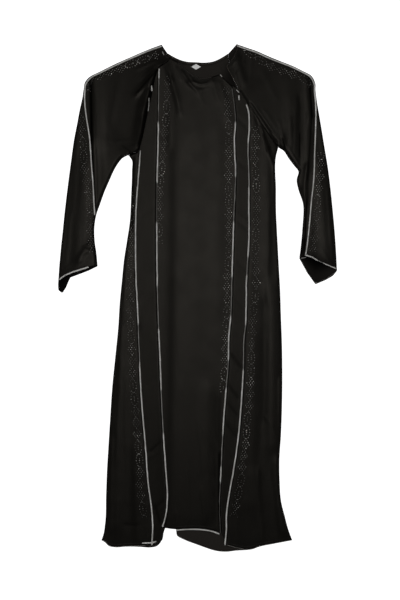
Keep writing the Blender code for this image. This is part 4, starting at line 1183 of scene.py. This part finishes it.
def neckLabel():
    # a rhombus of ribbon with its edges turned in, lying on the inside of the back
    work = bmesh.new()
    bmesh.ops.create_circle(work, segments=4, radius=0.5, cap_ends=True)
    bmesh.ops.scale(work, vec=(*label["size"], 1.0), verts=work.verts[:])
    bmesh.ops.inset_region(work, faces=work.faces[:], thickness=label["hem"], depth=0.0)
    middle = [face for face in work.faces if len(face.verts) == 4 and face.calc_area() > 0.00008]
    wide, deep = label["hemLine"]
    bmesh.ops.inset_region(work, faces=middle, thickness=wide, depth=deep)
    bmesh.ops.subdivide_edges(work, edges=work.edges[:], cuts=4, use_grid_fill=True)
    for vert in work.verts:
        vert.co.z += label["wave"] * math.sin(vert.co.x * 260)
        vert.co.z += label["lift"] * softStep(abs(vert.co.x) / 0.012)
    work.normal_update()
    if sum(face.normal.z for face in work.faces) < 0:
        bmesh.ops.reverse_faces(work, faces=work.faces[:])
    bmesh.ops.translate(work, vec=(*label["place"], garment["wall"] + 0.0008), verts=work.verts[:])
    piece = newPiece("neckLabel", work, labelRibbon)
    thicken(piece, label["thick"], 1.0)
    return piece


cover(neckLabel())
print("bindings and label made")

clothTrees = {piece.name: topOf([piece]) for piece in (backPiece, *frontPieces, *sleevePieces)}
coverTree = topOf([*frontPieces, *sleevePieces, *pipingPieces])


def onTop(tree, line, count, rise):
    # points of the line, put on what lies below them
    points = []
    for x, y in smoothLine(line, count):
        hit = lookDown(tree, x, y)[0]
        if hit is not None:
            points.append((x, y, hit.z + rise))
    return points


# short bits of piping that show between folds: line, radius, how much painted shade it gets where it is
# tucked away (0 to 1)
pipingBits = {
    "bitRaglanLeftUpper": (metres((-126.2, 585), (-125.8, 577), (-125.5, 569)), 0.0019, 0.0),
    "bitRaglanLeftLower": (metres((-133.5, 551.2), (-134, 533), (-136.2, 514)), 0.0011, 0.35),
    "bitRaglanRightUpper": (metres((106.4, 574), (110.5, 570.5), (114.4, 565.5)), 0.0013, 0.1),
    "bitRaglanRightLower": (metres((113.6, 559), (114.3, 552), (114.6, 544.6)), 0.0018, 0.0),
    "bitNeckCorner": (metres((60.6, 617.5), (64, 614), (68, 609)), 0.0011, 0.2),
    "bitNeckTip": (metres((-97.2, 680), (-94.5, 674), (-92.2, 669)), 0.0010, 0.3),
    "bitCuffRight": (metres((284.8, 108.8), (292.1, 110.8), (300, 112.4)), 0.0013, 0.7),
    "bitHemLeft": (metres((-153.5, -675), (-139, -674.2), (-124, -673.5), (-113, -670)), 0.0019, 0.0),
}


def pipingBit(name, line, radius, tuckedShade):
    count = 3 + round(600 * math.dist(line[0], line[-1]))
    points = onTop(coverTree, line, count, garment["above"] + radius)
    return softCord(name, points, [radius] * len(points), silverPiping, uneven=0.25, seed=line[0][0] * 90,
                    tuckedShade=[tuckedShade] * len(points))


for name, bit in pipingBits.items():
    keep(pipingBit(name, *bit))

overlock = {"pitch": 0.0022, "wide": 0.0010, "radius": 0.00026, "inset": 0.0011}
hemThreads = {
    "overlockLeft": (hemSideLeft, "sidePanelLeft"),
    "overlockRight": (hemSideRight, "sidePanelRight"),
    "overlockBack": (hemBackRight[1:9], "backPanel"),
    "overlockCuff": (metres((285.5, 101.5), (325.8, 41.5), (356, 52), (380.3, 70)), "sleeveBackRight"),
}


def overlockThread(name, edge, under):
    # one thread that swings over the raw edge and back
    steps = round(2 * runOf(edge)[-1] / overlock["pitch"])
    line = smoothLine(edge, steps)
    points = []
    for step, (x, y) in enumerate(line):
        ahead = line[min(steps - 1, step + 1)] - line[max(0, step - 1)]
        ahead /= np.linalg.norm(ahead)
        swing = overlock["inset"] + (overlock["wide"] if step % 2 else -overlock["wide"]) * 0.8
        px, py = x - ahead[1] * swing, y + ahead[0] * swing
        hit = lookDown(clothTrees[under], px, py)[0]
        if hit is not None:
            points.append((px, py, hit.z + overlock["radius"]))
    return softCord(name, points, [overlock["radius"]] * len(points), paleThread, sides=5, uneven=0.2)


def edgeThread(name, line, under, radius=0.0004):
    # a thread along the edge, just inside it
    points = onTop(clothTrees[under], line, 60, radius)
    return softCord(name, points, [radius] * len(points), brownThread, sides=6, uneven=0.3)


for name, thread in hemThreads.items():
    keep(overlockThread(name, *thread))
keep(edgeThread("rimBack", moved(backNeckline, 0.0, -0.0040), "backPanel"))
keep(edgeThread("rimSleeve", metres(
    (107.5, 679), (101, 664), (88.5, 648), (81.2, 638), (83.5, 629), (97, 603), (112, 579), (117, 572),
), "sleeveFrontRight"))

stitch = {"pitch": 0.0034, "long": 0.0024, "radius": 0.00022, "above": 0.0001}
stitchRows = {
    "stitchNeck": (moved(frontNeckline[1:-1], 0.0, -0.0055), "centrePanel"),
    "stitchHemCentre": (moved(hemCentre[1:-1], 0.0, 0.0070), "centrePanel"),
    "stitchStripLeft": (moved(centreLineLeft[2:], -0.0055), "stripLeft"),
    "stitchStripRight": (moved(centreLineRight[1:], 0.0055), "stripRight"),
    "stitchSideLeft": (moved(sideLineLeft[6:], -0.0058), "sidePanelLeft"),
    "stitchSideRight": (moved(sideLineRight[4:], 0.0058), "sidePanelRight"),
    "stitchHemLeft": (moved(hemSideLeft[1:], 0.0, 0.0085), "sidePanelLeft"),
    "stitchHemRight": (moved(hemSideRight[:-1], 0.0, 0.0085), "sidePanelRight"),
}


def stitchRow(name, seam, under):
    # short black stitches sunk a little in the cloth
    line = smoothLine(seam, max(3, round(runOf(seam)[-1] / stitch["pitch"])))
    work = bmesh.new()
    for here, ahead in zip(line, line[1:]):
        start, end = (lookDown(clothTrees[under], *point)[0] for point in (here, ahead))
        if start is None or end is None:
            continue
        run = (end - start).normalized()
        middle = start + run * stitch["long"] / 2 + Vector((0, 0, stitch["above"]))
        bmesh.ops.create_cone(
            work, cap_ends=True, segments=6, radius1=stitch["radius"], radius2=stitch["radius"],
            depth=stitch["long"],
            matrix=Matrix.Translation(middle) @ run.to_track_quat("Z", "Y").to_matrix().to_4x4())
    return newPiece(name, work, blackThread)


for name, row in stitchRows.items():
    keep(stitchRow(name, *row))
print("bits, hems and stitches made")

# rows of faceted stones, two ovals and three diamonds repeated along each seam
stones = {
    "radius": 0.00112, "height": 0.0008, "facets": 8, "table": 0.52, "sizes": (0.9, 1.08),
    "period": 0.170, "ovalAt": (0.0, 0.0365), "oval": (0.0090, 0.0180), "ring": 14, "middle": 0.0052,
    "diamondAt": (0.070, 0.1015, 0.133), "diamond": (0.0035, 0.00517), "rows": 4,
    "missing": 0.05, "stray": 0.0003, "tilt": 0.16, "above": 0.0001, "covered": 0.0006,
    # painted glint: how bright each stone is made, one picked at random per stone
    "bright": (0.22, 0.30, 0.33, 0.40, 0.44, 0.51, 0.7, 1.3),
}
# path from the neck end on, where its first oval lies, the panel it is fixed on, and its painted glint by
# length along it
stoneRows = {
    "CentreLeft": {
        "path": metres(
            (-84.1, 614.6), (-84.1, 548.4), (-87.1, 493.3), (-91.2, 454.7), (-95.1, 394.1),
            (-98.9, 352.8), (-103.9, 297.6), (-105.6, 228.7), (-106.1, 146.1),
        ),
        "first": 0.088, "on": "centrePanel",
        "glint": [(0, 0.3), (0.12, 0.4), (0.22, 0.4), (0.27, 0.85), (0.32, 0.5), (0.47, 0.35)],
    },
    "CentreRight": {
        "path": metres(
            (78.5, 581.5), (84.9, 504.3), (85.4, 325.2), (85.4, 104.7), (81.3, 49.6), (81.9, -5.5),
            (78.4, -88.2), (76.7, -157.1), (72.9, -226), (70.1, -261.8),
        ),
        "first": 0.111, "on": "centrePanel",
        "glint": [
            (0, 0.3), (0.15, 0.3), (0.24, 0.7), (0.32, 0.6), (0.45, 0.45), (0.6, 0.75), (0.85, 0.8),
        ],
    },
    "SideLeft": {
        "path": metres(
            (-183.3, 283.9), (-181.9, 159.8), (-184.1, -5.5), (-184.1, -77.2), (-180.5, -148.8),
            (-177.2, -248), (-172.3, -292.1), (-169.5, -333.5), (-164, -402.4), (-158.5, -463),
            (-157.6, -526.4), (-150.8, -578.8), (-146.1, -606.3),
        ),
        "first": 0.356, "on": "sidePanelLeft",
        "glint": [
            (0, 0.4), (0.12, 0.3), (0.3, 0.22), (0.41, 0.3), (0.427, 1.1), (0.45, 0.3), (0.62, 0.28),
            (0.72, 0.6), (0.8, 0.4), (0.86, 0.22), (0.9, 0.22),
        ],
    },
    "SideRight": {
        "path": metres(
            (158.5, 476.8), (160.7, 424.4), (156.5, 388.6), (159.6, 352.8), (162.9, 289.4), (161.8, 215),
            (159.6, 148.8), (159.6, 8.3), (154.9, -27.6), (151, -96.5), (148.5, -165.4), (146.3, -242.5),
            (145, -281.1), (137, -339), (133.4, -391.4), (123.7, -457.5), (122.6, -487.8),
            (110.5, -548.4), (102.5, -589.8), (99.2, -606.3),
        ),
        "first": 0.472, "on": "sidePanelRight",
        "glint": [
            (0, 0.35), (0.08, 0.7), (0.14, 0.7), (0.2, 0.3), (0.3, 0.25), (0.5, 0.4), (0.68, 0.35),
            (0.71, 1.1), (0.74, 0.35), (0.8, 0.45), (0.86, 0.7), (0.95, 0.6), (1, 0.3), (1.09, 0.2),
        ],
    },
    "ShoulderLeft": {
        "path": metres(
            (-106.1, 671.1), (-119.9, 667), (-151, 655.9), (-184.1, 644.9), (-217.2, 630.3),
            (-244.7, 622.9), (-276.2, 609.9), (-299.9, 597.2), (-301.2, 565),
        ),
        "first": 0.044, "on": "sleeveFrontLeft",
        "glint": [(0, 1.1), (0.12, 1.1), (0.16, 0.6), (0.25, 0.4)],
    },
    "ShoulderRight": {
        "path": metres(
            (128.2, 684.9), (141.9, 676), (175, 654), (204.5, 636.6), (232.9, 626.4), (265.1, 615.4),
            (301.8, 597.2), (312.8, 582.3),
        ),
        "first": 0.02, "on": "sleeveFrontRight",
        "glint": [(0, 0.7), (0.06, 0.35), (0.12, 0.8), (0.16, 0.35), (0.21, 0.35)],
    },
    "SleeveLeft": {
        "path": metres(
            (-324.1, 509.9), (-319.7, 468.5), (-314.5, 413.4), (-311.7, 358.3), (-303.4, 305.9),
            (-298.2, 261.8), (-295.4, 212.2), (-293.8, 165.4), (-289.9, 126.8),
        ),
        "first": 0.086, "on": "sleeveBackLeft",
        "glint": [(0, 0.22), (0.12, 0.4), (0.2, 0.22), (0.38, 0.3)],
    },
    "SleeveRight": {
        "path": metres(
            (340.4, 402.4), (340.4, 369.3), (338.7, 339), (334.9, 305.9), (330.4, 267.3), (329.3, 228.7),
            (325.2, 195.7), (322.5, 159.8), (316.9, 126.8),
        ),
        "first": 0.136, "on": "sleeveBackRight",
        "glint": [(0, 0.8), (0.1, 0.55), (0.18, 0.25), (0.28, 0.2)],
    },
}


def motifPlaces(length, first):
    # places in the band as (along, across, middle of the motif)
    places = []
    start = first - stones["period"] * math.ceil((first + 0.04) / stones["period"])
    while start < length:
        for at in stones["ovalAt"]:
            for turn in range(stones["ring"]):
                angle = math.tau * (turn + 0.5) / stones["ring"]
                places.append((start + at + stones["oval"][1] * math.cos(angle),
                               stones["oval"][0] * math.sin(angle), start + at))
            places += [(start + at + step * stones["middle"], 0.0, start + at) for step in (-1, 0, 1)]
        for at in stones["diamondAt"]:
            for one in range(stones["rows"]):
                for two in range(stones["rows"]):
                    places.append((start + at + (one + two - 3) * stones["diamond"][1],
                                   (one - two) * stones["diamond"][0], start + at))
        start += stones["period"]
    return [place for place in places if 0.0 <= place[0] <= length]


def stoneRow(side, band):
    chance = random.Random(side)
    line = smoothLine(band["path"], 200)
    run = runOf(line)

    def spot(along):
        return np.array([np.interp(along, run, line[:, axis]) for axis in (0, 1)])

    work = bmesh.new()
    shade = work.verts.layers.float.new("glint")
    for along, across, middle in motifPlaces(run[-1], band["first"]):
        x, y = (float(value) for value in spot(along))
        ahead = spot(along + 0.004) - spot(along - 0.004)
        ahead /= np.linalg.norm(ahead)
        x += float(ahead[1]) * across + chance.uniform(-stones["stray"], stones["stray"])
        y -= float(ahead[0]) * across + chance.uniform(-stones["stray"], stones["stray"])
        hit, normal = lookDown(clothTrees[band["on"]], x, y)[:2]
        if hit is None or chance.random() < stones["missing"]:
            continue
        rim = stones["radius"] * 0.9  # none where another piece lies over the panel
        tops = [lookDown(coverTree, x + rim * dx, y + rim * dy)[0]
                for dx, dy in ((0, 0), (1, 0), (-1, 0), (0, 1), (0, -1))]
        if any(top is None or top.z > hit.z + stones["covered"] for top in tops):
            continue
        lean = Vector((chance.uniform(-1, 1), chance.uniform(-1, 1), 0)) * stones["tilt"]
        turned = (normal + lean).to_track_quat("Z", "Y").to_matrix().to_4x4()
        spin = Matrix.Rotation(chance.uniform(0, 0.8), 4, "Z")
        radius = stones["radius"] * chance.uniform(*stones["sizes"])
        centre = hit + normal * (stones["height"] / 2 + stones["above"])
        cone = bmesh.ops.create_cone(
            work, cap_ends=True, segments=stones["facets"], radius1=radius,
            radius2=radius * stones["table"], depth=stones["height"],
            matrix=Matrix.Translation(centre) @ turned @ spin)
        # painted glint: the band's level along its length, varied from motif to motif and then from stone
        # to stone
        glint = float(np.interp(middle, *zip(*band["glint"])))
        glint *= 0.75 + 0.5 * random.Random(round(middle * 1000)).random()
        bright = chance.choice(stones["bright"])
        for vert in cone["verts"]:
            vert[shade] = glint * bright
    print("  stones", side, len(work.verts) // (2 * stones["facets"]))
    return newPiece("stones" + side, work, facetedStone)


for side, band in stoneRows.items():
    keep(stoneRow(side, band))
print("stones set")
studio = {
    "floorSize": 12.0, "floorLevel": -0.0004, "floorTone": (0.95, 0.95, 0.95), "floorGlow": 0.80,
    "world": 0.19, "pixel": 0.002756, "pixelsHigh": 600, "middle": (0.0069, -0.0055, 0.004),
    "lens": 85.0, "sensor": 36.0,
    "lights": {  # place, size, power
        "overhead": ((0.0, 0.44, 4.8), (0.95, 1.7), 53.0),
        "sideLeft": ((-3.0, 0.4, 2.4), (1.6, 2.0), 13.0),
        "sideRight": ((3.0, -0.2, 2.4), (1.6, 2.0), 9.1),
    },
}


def makeFloor():
    # pale, and clear from below
    work = bmesh.new()
    bmesh.ops.create_grid(work, x_segments=1, y_segments=1, size=studio["floorSize"] / 2)
    bmesh.ops.translate(work, vec=(0, 0, studio["floorLevel"]), verts=work.verts[:])
    material, tree, shader = newMaterial("pale floor")[:3]
    feedAll(tree, shader, {"Base Color": studio["floorTone"], "Roughness": 0.9,
                           "Emission Color": (1.0, 1.0, 1.0), "Emission Strength": studio["floorGlow"]})
    side = tree.nodes.new("ShaderNodeNewGeometry")
    clear = tree.nodes.new("ShaderNodeBsdfTransparent")
    mix = tree.nodes.new("ShaderNodeMixShader")
    link(tree, (side.outputs["Backfacing"], mix.inputs[0]), (shader.outputs[0], mix.inputs[1]),
         (clear.outputs[0], mix.inputs[2]),
         (mix.outputs[0], tree.nodes["Material Output"].inputs["Surface"]))
    newPiece("floor", work, material)


def areaLight(name, place, size, power):
    # a rectangle of light that looks at the middle of the cloak
    data = bpy.data.lights.new(name, "AREA")
    data.shape = "RECTANGLE"
    data.size, data.size_y = size
    data.energy = power
    light = bpy.data.objects.new(name, data)
    light.location = place
    light.rotation_euler = (-Vector(place)).to_track_quat("-Z", "Y").to_euler()
    bpy.context.scene.collection.objects.link(light)


def makeStudio():
    makeFloor()
    world = bpy.data.worlds.new("studio")
    world.use_nodes = True
    feedAll(world.node_tree, world.node_tree.nodes["Background"],
            {"Color": (1.0, 1.0, 1.0), "Strength": studio["world"]})
    bpy.context.scene.world = world
    for name, light in studio["lights"].items():
        areaLight(name, *light)
    bpy.context.scene.view_settings.view_transform = "Standard"
    view = bpy.data.cameras.new("camera")
    view.lens = studio["lens"]
    view.sensor_width = studio["sensor"]
    camera = bpy.data.objects.new("camera", view)
    frameHigh = studio["pixelsHigh"] * studio["pixel"]
    x, y, z = studio["middle"]
    camera.location = (x, y, z + frameHigh * studio["lens"] / studio["sensor"])
    bpy.context.scene.collection.objects.link(camera)
    bpy.context.scene.camera = camera


makeStudio()
print("studio ready")
